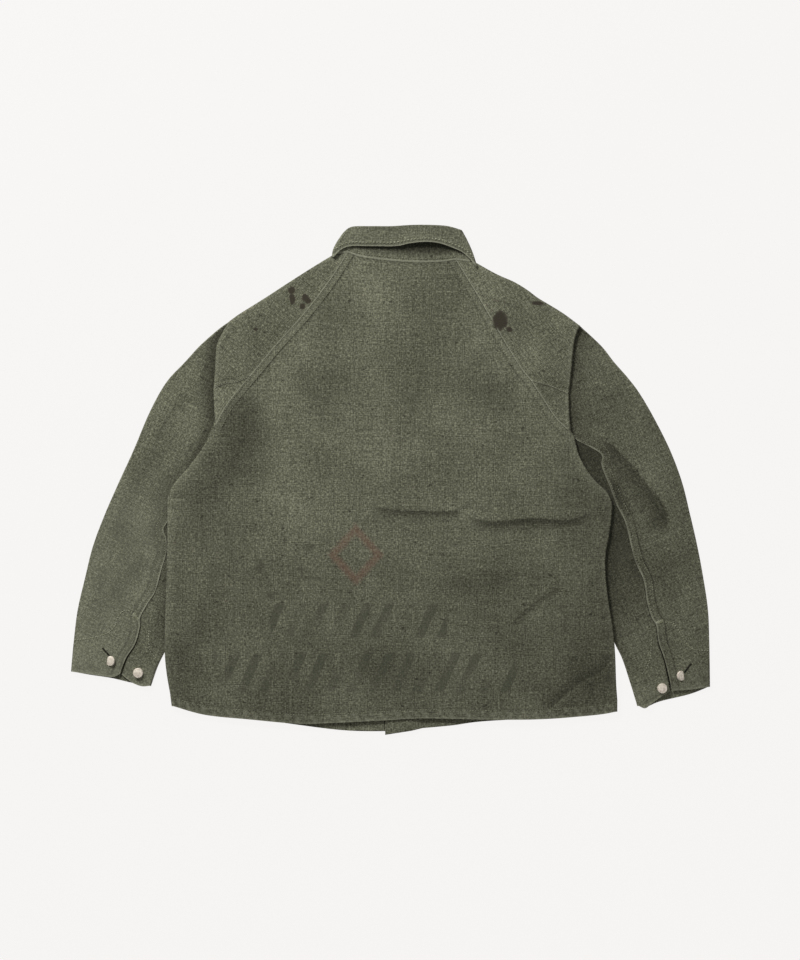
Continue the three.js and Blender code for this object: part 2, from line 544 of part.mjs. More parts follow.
const fallRows = fallNet.map((row, i) => {
  const t = i / (fallNet.length - 1);
  const places = row.map((point, j) => {
    const flat = i === 0 ? pulledIn[j] : point;
    const lift = FALL_LIFT * Math.exp(-(((flat.x - 55) / 38) ** 2));
    return new THREE.Vector3(flat.x, flat.y, mix(fallTop, FALL, t) + lift * t * t);
  });
  const ends = [[fallLine, 0, fallEnd], [fallEnd, COLLAR_COLUMNS, fallLine]].map(([line, index, other]) => {
    const border = flat2(i === 0 ? line[0].clone().lerp(line[1], 0.15) : line[i]);
    const options = { thickness: COLLAR_CLOTH, bend: COLLAR_SIDE_BEND };
    const roll = rollOver(places, index, border, outward(line, i, other[i]), QUARTER, 0, options);
    return [roll[0].clone().setZ(COLLAR_SPLIT + 0.15), ...roll];
  });
  return [...ends[0], ...places, ...ends[1].reverse()];
});
const collarRows = [...standRows, ...rollRows, ...fallRows].reverse();
jacket.add(wall("collar_back", collarRows, { thickness: COLLAR_CLOTH }));

export default jacket;
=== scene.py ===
import math

import bpy
import numpy as np
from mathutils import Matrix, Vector
from mathutils.bvhtree import BVHTree


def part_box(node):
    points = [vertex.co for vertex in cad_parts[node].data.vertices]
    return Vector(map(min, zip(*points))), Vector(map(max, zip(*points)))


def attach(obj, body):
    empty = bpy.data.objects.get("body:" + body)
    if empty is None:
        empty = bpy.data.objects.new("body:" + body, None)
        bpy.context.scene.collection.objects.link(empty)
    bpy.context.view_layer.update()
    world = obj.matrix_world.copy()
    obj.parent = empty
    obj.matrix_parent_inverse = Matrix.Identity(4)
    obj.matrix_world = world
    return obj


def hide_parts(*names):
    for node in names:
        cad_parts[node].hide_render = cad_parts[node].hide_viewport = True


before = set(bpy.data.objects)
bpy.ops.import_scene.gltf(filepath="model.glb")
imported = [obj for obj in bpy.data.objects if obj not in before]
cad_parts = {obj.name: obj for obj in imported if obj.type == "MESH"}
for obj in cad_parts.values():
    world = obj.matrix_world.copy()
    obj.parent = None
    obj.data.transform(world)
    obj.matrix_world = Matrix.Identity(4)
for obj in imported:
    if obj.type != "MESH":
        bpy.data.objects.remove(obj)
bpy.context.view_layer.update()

# Fronts: the two chest panels of slub canvas, cut flat and hemmed, that lie on the floor and lap at the
# centre. A facing is sewn inside each centre edge. Only their lower edge shows, below the back's hem.
MM = 0.001
SIDES = ("left", "right")
CLOTH = 1.2
SEAM = 0.06
FLOOR = CLOTH / 2
LEAF_RISE = 2.3
OVERLAP = 1.5
NECK_X = 17
HEM_DEPTH = 15
HEM_EXTRA = 0.8
RAGLAN_FRONT = {"left": [[-76, 327], [-193, 33]], "right": [[116, 314], [203, 33]]}
SIDE_SEAM = {
    "left": [[-193, 33], [-211, -60], [-263, -180], [-293, -255], [-301, -322], [-301, -339]],
    "right": [[203, 33], [224, -60], [269, -180], [299, -255], [308, -330], [308, -348]],
}
FRONT_HEM = {
    "left": [[-208, -356], [-139, -367], [-58, -376]],
    "right": [[233, -356], [137, -362], [92, -368]],
}
LEFT_EDGE = (29, 258, -376)
LAP_FOOT = (48, 272, -372)
LAP_STEP = (31, 266, -376)
RIGHT_EDGE = (-8, 258, -382)
FACING_TOP = 110
FACING_ROWS = 60
FACING = {
    "left": [(-50, -375.2), (-30, -375.6), (-9.5, -376)],
    "right": [(46, -372), (31, -375.2), (12, -378), (-8, -381.2)],
}


def smooth(value, low, high):
    t = np.clip((np.asarray(value, float) - low) / (high - low), 0, 1)
    return t * t * (3 - 2 * t)


def mix(a, b, t):
    return a + (b - a) * t


def cut(line, shares):
    """Points of a line at the given shares of its length."""
    steps = np.hypot(*np.diff(line, axis=0).T)
    length = np.concatenate([[0], np.cumsum(steps)])
    return np.column_stack([np.interp(shares, length / length[-1], line[:, k]) for k in (0, 1)])


def spline(points, shares):
    """Smooth line through given points; shares is a number of even steps or a list of shares."""
    p = np.asarray(points, float)
    p = np.vstack([p[:1], p, p[-1:]])
    t = np.linspace(0, 1, 24, endpoint=False)[:, None]
    bends = []
    for a, b, c, d in zip(p, p[1:], p[2:], p[3:]):
        start, end = (c - a) / 2, (d - b) / 2
        bends.append((2 * t**3 - 3 * t**2 + 1) * b + (t**3 - 2 * t**2 + t) * start
                     + (3 * t**2 - 2 * t**3) * c + (t**3 - t**2) * end)
    line = np.vstack(bends + [p[-1:]])
    return cut(line, np.linspace(0, 1, shares + 1) if np.isscalar(shares) else shares)


def joined(*parts):
    """Several smooth lines end to end, each with its own number of steps."""
    lines = [spline(points, steps) for points, steps in parts]
    return np.vstack(lines[:1] + [line[1:] for line in lines[1:]])


def share(line):
    steps = np.hypot(*np.diff(line, axis=0).T)
    length = np.concatenate([[0], np.cumsum(steps)])
    return length / length[-1]


def net(outer, inner, top_middle, bottom_middle, columns):
    """Flat net of points between two side lines and two end lines, in rows from outer to inner."""
    u = np.linspace(0, 1, columns + 1) if np.isscalar(columns) else np.asarray(columns)
    top = spline([outer[0], *top_middle, inner[0]], u)[None]
    bottom = spline([outer[-1], *bottom_middle, inner[-1]], u)[None]
    v = ((share(outer) + share(inner)) / 2)[:, None, None]
    u = u[None, :, None]
    corners = mix(mix(outer[0], inner[0], u), mix(outer[-1], inner[-1], u), v)
    return mix(outer[:, None], inner[:, None], u) + mix(top, bottom, v) - corners


def near_neck(x, y):
    return smooth(y, 90, 210) * (1 - smooth(abs(x - NECK_X), 125, 200))


def floor_height(x, y):
    return FLOOR + LEAF_RISE * near_neck(x, y)


def lap_height(x, y):
    climbed = np.clip((LAP_FOOT[0] - x) / (LAP_FOOT[0] - LAP_STEP[0]), 0, 1)
    return floor_height(x, y) + OVERLAP * climbed


def raised(flat, height):
    return np.dstack([flat, height(flat[..., 0], flat[..., 1])])


def linear(code):
    """sRGB hex colour as linear RGBA."""
    values = [int(code[k:k + 2], 16) / 255 for k in (1, 3, 5)]
    return tuple(v / 12.92 if v <= 0.04045 else ((v + 0.055) / 1.055) ** 2.4 for v in values) + (1,)


def add(tree, kind, inputs=None, **settings):
    """One shader node with its settings, its values and its links."""
    node = tree.nodes.new("ShaderNode" + kind)
    for name, value in settings.items():
        setattr(node, name, value)
    for name, value in (inputs or {}).items():
        if isinstance(value, bpy.types.NodeSocket):
            tree.links.new(value, node.inputs[name])
        else:
            node.inputs[name].default_value = value
    return node


# Slub canvas: a heavy plain weave of uneven dyed yarn, washed until the fold edges pale. It is matt,
# with short light and dark dashes both ways, long slubs and dark neps. Real threads are about 1 mm apart;
# the dashes are drawn 1.6 mm wide so that they show from the camera.
DASH_WIDTH = 1.6 * MM
DASH_LENGTH = 4 * MM
SLUB_LENGTH = 60 * MM
MOTTLE = 9 * MM
FADING = 110 * MM
RAGGED = 5 * MM
NEP_SPACING = 20 * MM
STRIPE_PITCH = 30 * MM
STRIPE_SLANT = math.radians(24)
WAVE_LENGTH = math.tau / 20  # of the wave pattern at scale 1, in metres


def blank_material(name):
    """A new material with an empty node tree."""
    material = bpy.data.materials.new(name)
    material.use_nodes = True
    material.node_tree.nodes.clear()
    return material, material.node_tree


def noise(tree, place, size, detail=2, roughness=0.5, dimensions="3D"):
    """Soft blotches of about the given size."""
    inputs = {"Vector": place, "Scale": 1 / size, "Detail": detail, "Roughness": roughness}
    return add(tree, "TexNoise", inputs, noise_dimensions=dimensions).outputs["Fac"]


def ramp(tree, amount, stops):
    """Colour that runs through stops, each a position and a hex colour."""
    node = add(tree, "ValToRGB", {"Fac": amount})
    for _ in stops[2:]:
        node.color_ramp.elements.new(0.5)
    for element, (position, code) in zip(node.color_ramp.elements, stops):
        element.position = position
        element.color = linear(code)
    return node.outputs["Color"]


def finished(tree, inputs):
    surface = add(tree, "BsdfPrincipled", inputs)
    add(tree, "OutputMaterial", {"Surface": surface.outputs[0]})


canvas, canvas_tree = blank_material("washed_slub_canvas")


def worked(operation, *values):
    return add(canvas_tree, "Math", dict(enumerate(values)), operation=operation).outputs[0]


def ranged(value, low, high, top=1, bottom=0, kind="LINEAR"):
    inputs = {"Value": value, "From Min": low, "From Max": high, "To Min": bottom, "To Max": top}
    return add(canvas_tree, "MapRange", inputs, interpolation_type=kind).outputs["Result"]


def tinted(colour, amount, code, blend="MIX"):
    inputs = {0: amount, 6: colour, 7: linear(code)}
    return add(canvas_tree, "Mix", inputs, data_type="RGBA", blend_type=blend).outputs[2]


def painted(name):
    return add(canvas_tree, "Attribute", attribute_name=name).outputs["Fac"]


grain = add(canvas_tree, "Attribute", attribute_name="grain").outputs["Vector"]
streaks = []
for across, lengthways in ((DASH_WIDTH, DASH_LENGTH), (DASH_LENGTH, DASH_WIDTH),
                           (DASH_WIDTH, SLUB_LENGTH), (SLUB_LENGTH, DASH_WIDTH)):
    laid = add(canvas_tree, "Mapping", {"Vector": grain, "Scale": (1 / across, 1 / lengthways, 1)})
    streaks.append(noise(canvas_tree, laid.outputs["Vector"], 1, 1, 0.6, "2D"))
mottle = noise(canvas_tree, grain, MOTTLE, 4, 0.75, "2D")
fading = noise(canvas_tree, grain, FADING, 3, 0.5, "2D")
ragged = noise(canvas_tree, grain, RAGGED, 3, 0.7, "2D")
weave = worked("ADD", streaks[0], streaks[1])
slubs = worked("ADD", streaks[2], streaks[3])
worn = worked("MULTIPLY_ADD", slubs, 0.4, weave)
worn = worked("MULTIPLY_ADD", mottle, 0.4, worn)
worn = worked("MULTIPLY_ADD", fading, 0.5, worn)
colour = ramp(canvas_tree, ranged(worn, 1.39, 2.39), [(0, "#3a3a2d"), (0.5, "#5f5f4f"), (1, "#8b8b76")])

# Neps: small ragged dark knots of yarn, wider than they are high, in about one cell of six.
flattened = add(canvas_tree, "Mapping", {"Vector": grain, "Scale": (1, 2.1, 1)}).outputs["Vector"]
cells = add(canvas_tree, "TexVoronoi", {"Vector": flattened, "Scale": 1 / NEP_SPACING},
            voronoi_dimensions="2D")
picked = add(canvas_tree, "SeparateColor", {"Color": cells.outputs["Color"]}).outputs[0]
reach = worked("MAXIMUM", worked("MULTIPLY_ADD", picked, 1.1, -0.9), 0.001)
away = worked("MULTIPLY", cells.outputs["Distance"], ranged(ragged, 0.35, 0.65, 2.2, 0.3))
nep = worked("MINIMUM", ranged(away, reach, 0, 1.2), 0.75)
colour = tinted(colour, nep, "#2c2b22")

# Pressed folds: a painted shadow line under the lip and a painted soft shade that fades away from it; with
# the other painted shade they darken the colour.
waved = worked("MULTIPLY_ADD", ragged, 0.9, painted("fold_gap"))
lip = ranged(waved, 0.75, 0.35, kind="SMOOTHSTEP")
soft = worked("MULTIPLY", lip, ranged(waved, -4.2, 0.45, 0.74, kind="SMOOTHSTEP"))
line = worked("ABSOLUTE", worked("SUBTRACT", waved, 0.45))
line = ranged(line, 0.4, 0, 0.7, kind="SMOOTHSTEP")
pressed = worked("MULTIPLY", worked("MAXIMUM", soft, line), painted("fold_depth"))
painted_shade = worked("MAXIMUM", painted("painted_shade"), pressed)
colour = tinted(colour, painted_shade, "#7e7e7a", "MULTIPLY")

# Faded slanted stripes, soiling, a red ring, pale rubbed edges with painted highlights, and stains; all but
# the edges and highlights are ragged.
slant = add(canvas_tree, "Mapping", {"Vector": grain, "Rotation": (0, 0, STRIPE_SLANT)}).outputs["Vector"]
stripe = add(canvas_tree, "TexWave", {"Vector": slant, "Scale": WAVE_LENGTH / STRIPE_PITCH},
             wave_profile="SIN")
stripe = ranged(stripe.outputs["Fac"], 0.5, 0.66)
for mark, strength, tint in (("print", 0.62, "#414236"), ("soil", 0.75, "#3f3f33"), ("red", 0.42, "#6c4c3f"),
                             ("wear_and_highlight", 0.8, "#a0a08c"), ("stain", 1.0, "#37332a")):
    place = painted(mark)
    if mark == "print":
        place = worked("MULTIPLY", place, stripe)
    if mark == "wear_and_highlight":
        kept = worked("MULTIPLY", place, strength)
    else:
        edge = worked("MULTIPLY_ADD", ragged, 0.9, place)
        kept = worked("MULTIPLY", ranged(edge, 0.72, 1.15, strength), place)
    colour = tinted(colour, kept, tint)
height = worked("MULTIPLY_ADD", mottle, 0.5, weave)
relief = add(canvas_tree, "Bump", {"Height": height, "Strength": 0.5, "Distance": 0.6 * MM}).outputs["Normal"]
finished(canvas_tree, {"Base Color": colour, "Normal": relief, "Roughness": 0.93, "Specular IOR Level": 0.15,
                       "Sheen Weight": 0.08})

surfaces = {}


def mesh_piece(name, points, faces, material, smooth_angle=50):
    """A closed mesh given in millimetres, as a piece of the jacket."""
    mesh = bpy.data.meshes.new(name)
    mesh.from_pydata(np.asarray(points) * MM, [], faces)
    mesh.shade_smooth()
    mesh.set_sharp_from_angle(angle=math.radians(smooth_angle))
    mesh.materials.append(material)
    piece = bpy.data.objects.new(name, mesh)
    bpy.context.scene.collection.objects.link(piece)
    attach(piece, "root")
    return piece


def cloth(node, sheet, flip=False, thickness=CLOTH, grain_turn=0.0, extra=None, marks=None, bare=(0, 0)):
    """Closed wall of cloth on a net of points, in the place of its CAD node; nan leaves squares out. The
    first and last columns given as bare have no extra thickness and no marks."""
    rows, columns = sheet.shape[:2]
    extra = np.zeros((rows, columns)) if extra is None else np.pad(extra, ((0, 0), bare))
    marks = {name: np.pad(values, ((0, 0), bare)) for name, values in (marks or {}).items()}
    if flip:
        sheet, extra = sheet[:, ::-1], extra[:, ::-1]
        marks = {name: values[:, ::-1] for name, values in marks.items()}
    there = ~np.isnan(sheet[..., 0])
    square = there[:-1, :-1] & there[1:, :-1] & there[1:, 1:] & there[:-1, 1:]
    used = np.zeros((rows, columns), bool)
    for i, j in ((0, 0), (1, 0), (1, 1), (0, 1)):
        used[i:rows - 1 + i, j:columns - 1 + j] |= square
    number = np.cumsum(used).reshape(used.shape) - 1
    corners = np.stack([number[:-1, :-1], number[1:, :-1], number[1:, 1:], number[:-1, 1:]], -1)[square]
    place = sheet[used]
    a, b, c, d = (place[corners[:, k]] for k in range(4))
    facing = np.cross(c - a, d - b)
    normals = np.zeros_like(place)
    for k in range(4):
        np.add.at(normals, corners[:, k], facing)
    normals /= np.maximum(np.linalg.norm(normals, axis=1, keepdims=True), 1e-9)
    count = len(place)
    lift = thickness / 2 + extra[used][:, None]
    points = np.vstack([place + normals * lift, place - normals * thickness / 2])
    edges = np.vstack([corners[:, pair] for pair in ([0, 1], [1, 2], [2, 3], [3, 0])])
    rim = edges[~np.isin(edges[:, 0] * count + edges[:, 1], edges[:, 1] * count + edges[:, 0])]
    sides = np.column_stack([rim[:, 1], rim[:, 0], rim[:, 0] + count, rim[:, 1] + count])
    faces = np.vstack([corners, corners[:, ::-1] + count, sides]).tolist()
    piece = mesh_piece(node + "_cloth", points, faces, canvas)
    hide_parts(node)
    cosine, sine = math.cos(grain_turn), math.sin(grain_turn)
    laid = np.zeros((2 * count, 3))
    laid[:, :2] = points[:, :2] @ np.array([[cosine, -sine], [sine, cosine]]) * MM
    piece.data.attributes.new("grain", "FLOAT_VECTOR", "POINT").data.foreach_set("vector", laid.ravel())
    for name, values in marks.items():
        layer = piece.data.attributes.new(name, "FLOAT", "POINT")
        layer.data.foreach_set("value", np.tile(values[used], 2))
    surfaces[node] = BVHTree.FromPolygons(points.tolist(), faces)
    return piece


for side in SIDES:
    flip = side == "right"
    outer = joined((RAGLAN_FRONT[side], 32), (SIDE_SEAM[side], 72))
    x, top, low = LAP_FOOT if flip else LEFT_EDGE
    inner = spline([[x, top], [x, low]], len(outer) - 1)
    panel = net(outer, inner, [], FRONT_HEM[side], 30)
    panel[:, 0] += SEAM * np.array([-1 if flip else 1, 0])
    if flip:
        t = np.linspace(0, 1, len(outer))
        lap = []
        for k in np.linspace(0, 1, 6):
            x, top, low = mix(np.array(LAP_STEP), np.array(RIGHT_EDGE), k)
            lap.append(np.column_stack([np.full_like(t, x), mix(top, low, t)]))
        panel = np.concatenate([panel, np.stack(lap, 1)], 1)
    hem = np.zeros(panel.shape[:2])
    hem[-3:, 2:] = HEM_EXTRA
    front = cloth("front_" + side, raised(panel, lap_height if flip else floor_height), flip, extra=hem)
    t = np.linspace(0, 1, FACING_ROWS)[:, None]
    line = np.array(FACING[side], float)
    ground = lap_height(line[:, 0], 0) if flip else np.full(len(line), FLOOR)
    strip = np.dstack([np.tile(line[:, 0], (FACING_ROWS, 1)), mix(FACING_TOP, line[:, 1], t),
                       np.tile(ground + OVERLAP, (FACING_ROWS, 1))])
    facing = cloth("facing_" + side, strip, flip)

# Sleeve fronts: the half of each raglan sleeve that lies on the floor, one piece of the same canvas from
# the neck to the cuff. Its outer and inner edges roll up to meet the sleeve's back.
SLEEVE_EDGE = 3.6
SLEEVE_CROWN = 1.4
RETURN = 6.6
OVER_SLEEVE = 9.6
BODY_EDGE = 3.6
BODY_CENTRE = 5.4
NECK_RISE = 1.4
PARTING = 0.3
SHOULDER_ROWS = 35
GRAIN_TURN = {"left": -0.45, "right": 0.45}
QUARTER = np.radians(np.arange(90, 0, -15))
HALF = np.radians(np.arange(180, 0, -15))
SHOULDER_LINE = {
    "left": [[-85, 338], [-113, 321], [-151, 297], [-188, 273], [-226, 249], [-241, 238]],
    "right": [[124, 328], [158, 309], [185, 297], [205, 285], [221, 273], [241, 261], [260, 249], [284, 231]],
}
OUTER = {
    "left": [[-241, 238], [-259, 225], [-286, 201], [-308, 177], [-331, 153], [-347, 129], [-365, 93],
             [-385, 45], [-407, -3], [-428, -51], [-446, -99], [-458, -147], [-469, -195], [-475, -243],
             [-479, -287]],
    "right": [[284, 231], [316, 201], [335, 177], [356, 153], [374, 129], [395, 93], [419, 45], [437, -3],
              [449, -51], [460, -99], [469, -147], [476, -195], [478, -243], [479, -310]],
}
INNER = {
    "left": [[-229, 45], [-245, -30], [-265, -92], [-301, -180], [-337, -255], [-349, -280], [-359, -309]],
    "right": [[233, 45], [250, -15], [268, -60], [311, -180], [334, -240], [347, -267], [359, -303],
              [370, -339]],
}
UNDER_FRONT = {
    "left": [[-193, 33], [-238, -30], *INNER["left"][2:]],
    "right": [[203, 33], [244, -15], *INNER["right"][2:]],
}
CREASE_UPPER = {
    "left": [[-238, 231], [-232, 202], [-230, 135]],
    "right": [[281, 224], [251, 195], [235, 112]],
}
CREASE_LOWER = {"left": [[-230, 135], [-229, 56]], "right": [[235, 112], [233, 52]]}
TOP_CUFF = {"left": [[-451, -291], [-418, -295]], "right": [[449, -314]]}
UNDER_CUFF = {"left": [[-388, -303], [-373, -309]], "right": [[394, -333], [382, -342]]}
FRONT_CUFF = {
    "left": [[-451, -292], [-418, -297], [-388, -304]],
    "right": [[449, -321], [404, -332], [382, -341]],
}


def depth_inside(shape, x, y):
    """Distance from the border of a flat shape, above zero inside it."""
    x, y = np.broadcast_arrays(np.asarray(x, float), np.asarray(y, float))
    least = np.full(x.shape, np.inf)
    inside = np.zeros(x.shape, bool)
    for (ax, ay), (bx, by) in zip(shape, np.roll(shape, -1, axis=0)):
        dx, dy = bx - ax, by - ay
        t = np.clip(((x - ax) * dx + (y - ay) * dy) / max(dx * dx + dy * dy, 1e-9), 0, 1)
        least = np.minimum(least, np.hypot(x - ax - t * dx, y - ay - t * dy))
        if dy:
            inside ^= ((ay > y) != (by > y)) & (x < ax + (y - ay) / dy * dx)
    return np.where(inside, least, -least)


sleeve_shapes = []
front_shapes = []
for side in SIDES:
    cuff = [OUTER[side][-1], *TOP_CUFF[side], *UNDER_CUFF[side], INNER[side][-1]]
    sleeve_shapes.append(np.vstack([joined((OUTER[side], 40), (cuff, 8)), spline(INNER[side], 30)[::-1],
                                    spline(CREASE_UPPER[side], 8)[::-1]]))
    front_shapes.append(np.vstack([joined((RAGLAN_FRONT[side], 4), (UNDER_FRONT[side], 20)),
                                   [OUTER[side][6], OUTER[side][0]]]))


def depth_in(shapes, x, y):
    return np.maximum(*[depth_inside(shape, x, y) for shape in shapes])


def sleeve_height(x, y):
    return SLEEVE_EDGE + SLEEVE_CROWN * smooth(depth_in(sleeve_shapes, x, y), 0, 35)


def return_height(x, y):
    ground = FLOOR + OVERLAP * smooth(depth_in(front_shapes, x, y), -24, -8)
    return mix(ground, RETURN, smooth(depth_in(sleeve_shapes, x, y), -34, -12))


def top_height(x, y):
    base = mix(BODY_EDGE, BODY_CENTRE, smooth(338 - abs(x), 0, 75)) + NECK_RISE * near_neck(x, y)
    return mix(base, OVER_SLEEVE, smooth(depth_in(sleeve_shapes, x, y), -55, -8))


def outward(line, inside):
    """Unit directions out of the cloth along a border line."""
    step = np.gradient(line, axis=0)
    out = np.column_stack([step[:, 1], -step[:, 0]])
    out /= np.linalg.norm(out, axis=1, keepdims=True)
    return out * np.where((out * (line - inside)).sum(1) < 0, -1, 1)[:, None]


def rolled(flat, out, radius, target, angles):
    """Points that roll over from a border of flat cloth; a half turn ends at the target height, a quarter
    turn on the way to it."""
    turn = angles[None, :]
    place = flat[:, None, :2] + out[:, None] * (radius[:, None] * np.sin(turn))[..., None]
    drop = (target - flat[:, 2])[:, None] / 2
    return np.dstack([place, flat[:, None, 2] + drop * (1 - np.cos(turn))])


def drawn_in(border, out, upper, lower, thickness=CLOTH):
    """Radius of a roll between two heights, and the line where it starts."""
    radius = np.full(len(border), np.maximum(abs(upper - lower) / 2, 1.0))
    return radius, border - out * (radius + thickness / 2)[:, None]


def missing(rows, columns):
    return np.full((rows, columns, 3), np.nan)


for side in SIDES:
    outer = joined((SHOULDER_LINE[side], SHOULDER_ROWS), (OUTER[side], 85))
    inner = joined((RAGLAN_FRONT[side], 50), (UNDER_FRONT[side], 70))
    out = outward(outer, inner)
    upper = np.where(np.arange(len(outer)) < SHOULDER_ROWS, top_height(*outer.T), SLEEVE_EDGE)
    radius, start = drawn_in(outer, out, upper, floor_height(*outer.T))
    inner_out = outward(inner, outer)
    rolls_in = inner[:, 1] < INNER[side][2][1] + 5
    inner_radius, inner_start = drawn_in(inner, inner_out, SLEEVE_EDGE, FLOOR)
    seam_side = np.where(rolls_in[:, None], inner_start, inner - inner_out * SEAM)
    half = raised(net(start, seam_side, [], FRONT_CUFF[side], 26), floor_height)
    outer_roll = rolled(half[:, 0], out, radius, upper - 2 * PARTING, QUARTER)
    inner_roll = rolled(half[:, -1], inner_out, inner_radius, SLEEVE_EDGE - 2 * PARTING, QUARTER)
    inner_roll[~rolls_in] = np.nan
    wall = np.concatenate([outer_roll, half, inner_roll[:, ::-1]], 1)
    piece = cloth("sleeve_front_" + side, wall, side == "right", grain_turn=GRAIN_TURN[side])

# Sleeve backs: a top sleeve and an under sleeve joined by a felled seam with two rows of sewing, which
# opens into a vent at the cuff. A short underlap lies in the vent. Soft folds run down from the armpit.
BACK_SEAM = {
    "left": [[-230, 135], [-263, 60], [-301, -15], [-334, -63], [-340, -74], [-336, -86], [-335, -99],
             [-336, -111], [-343, -134], [-352, -166], [-363, -184], [-375, -206], [-375, -220],
             [-382, -246], [-395, -267], [-404, -291]],
    "right": [[235, 112], [272, 66], [290, 54], [307, 45], [317, 36], [316, 22], [328, -9], [338, -36],
              [352, -65], [365, -118], [379, -150], [384, -182], [391, -206], [398, -218], [401, -242],
              [410, -270], [417, -300], [420, -316]],
}
BODY_EDGE_LINE = {
    "left": [[-265, 75], [-275, 56], [-301, 21], [-321, -2], [-332, -21], [-334, -42], [-334, -82],
             [-335, -142], [-337, -202], [-338, -255], [-335, -291], [-330, -322]],
    "right": [[271, 70], [281, 40], [293, 17], [307, -2], [321, -15], [329, -27], [332, -42], [327, -84],
              [322, -112], [322, -142], [326, -180], [332, -218], [336, -255], [338, -303], [340, -330]],
}
FOLD_UPPER = {
    "left": [[-241, 238], [-254, 216], [-260, 201], [-262, 178], [-263, 160], [-265, 136]],
    "right": [[284, 231], [278, 218], [274, 198], [271, 165], [267, 129]],
}
FOLD_LOWER = {
    "left": [[-265, 136], [-264, 110], [-263, 92], [-265, 78]],
    "right": [[267, 129], [268, 99], [270, 73]],
}
VENT_TOP = {"left": -206, "right": -218}
VENT_OPEN = 1.6
FELL_WIDTH = 13
FELL_EXTRA = 0.55
FELL_SHADES = [(FELL_WIDTH, 1.4, 0.7), (4, 1.1, 0.5)]  # place, width, strength
CUFF_DEPTH = 40
CUFF_EXTRA = 0.5
SMUDGE = (347, -112, 17, 30)  # x, y and half sizes
SLEEVE_CREASES = {
    "left": [([[-330, 60], [-372, 10], [-398, -50], [-412, -110]], 0.9, 14),
             ([[-300, 130], [-330, 96], [-352, 50]], 0.8, 12),
             ([[-352, -120], [-390, -150], [-420, -196]], 0.7, 12),
             ([[-300, 10], [-332, -30], [-350, -80]], 0.8, 8),
             ([[-430, -120], [-436, -190], [-440, -250]], 0.6, 12)],
    "right": [([[300, 74], [328, 54], [352, 30], [371, 8], [389, -14], [407, -36], [415, -64], [416, -98]],
               2.6, 12),
              ([[292, 128], [315, 122], [345, 118]], 0.8, 7),
              ([[330, 20], [352, -8], [366, -50], [380, -92]], 0.8, 10),
              ([[404, -120], [424, -160], [430, -220]], 0.7, 12),
              ([[300, 180], [330, 150], [352, 110]], 0.7, 12)],
}
# Shade on the sleeve beside the shoulder, beside the body, and its width.
FOLD_SHADE = {"left": (0.8, 0.46, 18), "right": (0.55, 0.95, 28)}
SLEEVE_SHADE = {"left": 0, "right": 0.16}
# Painted light on the lower half of the sleeve.
SLEEVE_PAINTED_LIGHT = {"left": 0.13, "right": 0}
CUFF_WEAR = {"left": 0.08, "right": 0.04}
PRESSED_DEPTH = 1.3
UNDER_SHADE = {"left": 0.3, "right": 0.8}
ARMPIT_SHADE = {"left": 0.1, "right": 0.4}


def nearest(line, x, y):
    """Distance from a line, the side of it as a sign, and the share of its length at the nearest place."""
    least = np.full(np.shape(x), np.inf)
    sign = np.zeros(np.shape(x))
    where = np.zeros(np.shape(x))
    shares = share(line)
    for k in range(len(line) - 1):
        (ax, ay), (dx, dy) = line[k], line[k + 1] - line[k]
        t = np.clip(((x - ax) * dx + (y - ay) * dy) / max(dx * dx + dy * dy, 1e-9), 0, 1)
        apart = np.hypot(x - ax - t * dx, y - ay - t * dy)
        closer = apart < least
        least = np.where(closer, apart, least)
        sign = np.where(closer, np.sign(dx * (y - ay) - dy * (x - ax)), sign)
        where = np.where(closer, mix(shares[k], shares[k + 1], t), where)
    return least, sign, where


def bell(value, centre, width):
    """1 at the centre of a band, fading to nothing about two widths away."""
    return np.exp(-((value - centre) / width) ** 2)


def creased(creases, x, y):
    """Soft troughs with a rounded lip on the upper side; they fade out at both ends."""
    total = np.zeros(np.shape(x))
    for points, depth, width in creases:
        apart, sign, where = nearest(spline(points, 24), x, y)
        fade = smooth(where, 0, 0.3) * (1 - smooth(where, 0.7, 1))
        pressed = depth > PRESSED_DEPTH
        across = apart * sign / width + (0.9 if pressed else 0)
        lip = bell(across, 1.9, 1.3)
        total += fade * depth * (0.4 if pressed else 1) * (0.8 * lip - bell(across, 0, 1))
    return total


def ripple(x, y, size, seed):
    """Gentle seeded waves of about the given size, mostly between -1 and 1."""
    random = np.random.default_rng(seed)
    total = 0
    for turn, length, phase in zip(random.uniform(0, math.tau, 9), random.uniform(0.7, 1.6, 9),
                                   random.uniform(0, math.tau, 9)):
        total = total + np.sin((x * math.cos(turn) + y * math.sin(turn)) * math.tau / (size * length) + phase)
    return total / 4


def painted_trough_shade(creases, x, y):
    """Painted shade in the shallow troughs, from 0 to 1."""
    total = np.zeros(np.shape(x))
    for points, depth, width in creases:
        if depth <= PRESSED_DEPTH:
            apart, _, where = nearest(spline(points, 24), x, y)
            fade = smooth(where, 0, 0.18) * (1 - smooth(where, 0.8, 1))
            total = np.maximum(total, fade * depth / 2.4 * bell(apart, 0, 1.15 * width))
    return total


def painted_fold_shadows(creases, x, y):
    """Marks for the painted shadow of the pressed troughs: the distance from the nearest one in its widths,
    above zero on the side of its lip, and how strongly the painted shadow shows there."""
    gap = np.full(np.shape(x), 6.0)
    shown = np.zeros(np.shape(x))
    for points, depth, width in creases:
        if depth > PRESSED_DEPTH:
            apart, sign, where = nearest(spline(points, 24), x, y)
            closer = apart / width < abs(gap)
            fade = smooth(where, 0, 0.18) * (1 - smooth(where, 0.8, 1))
            gap = np.where(closer, apart / width * sign, gap)
            shown = np.where(closer, fade * min(depth / 2.4, 1), shown)
    return {"fold_gap": gap, "fold_depth": shown}


def cuff_relief(cuff):
    return CUFF_EXTRA * (1 - smooth(cuff, CUFF_DEPTH, CUFF_DEPTH + 4))


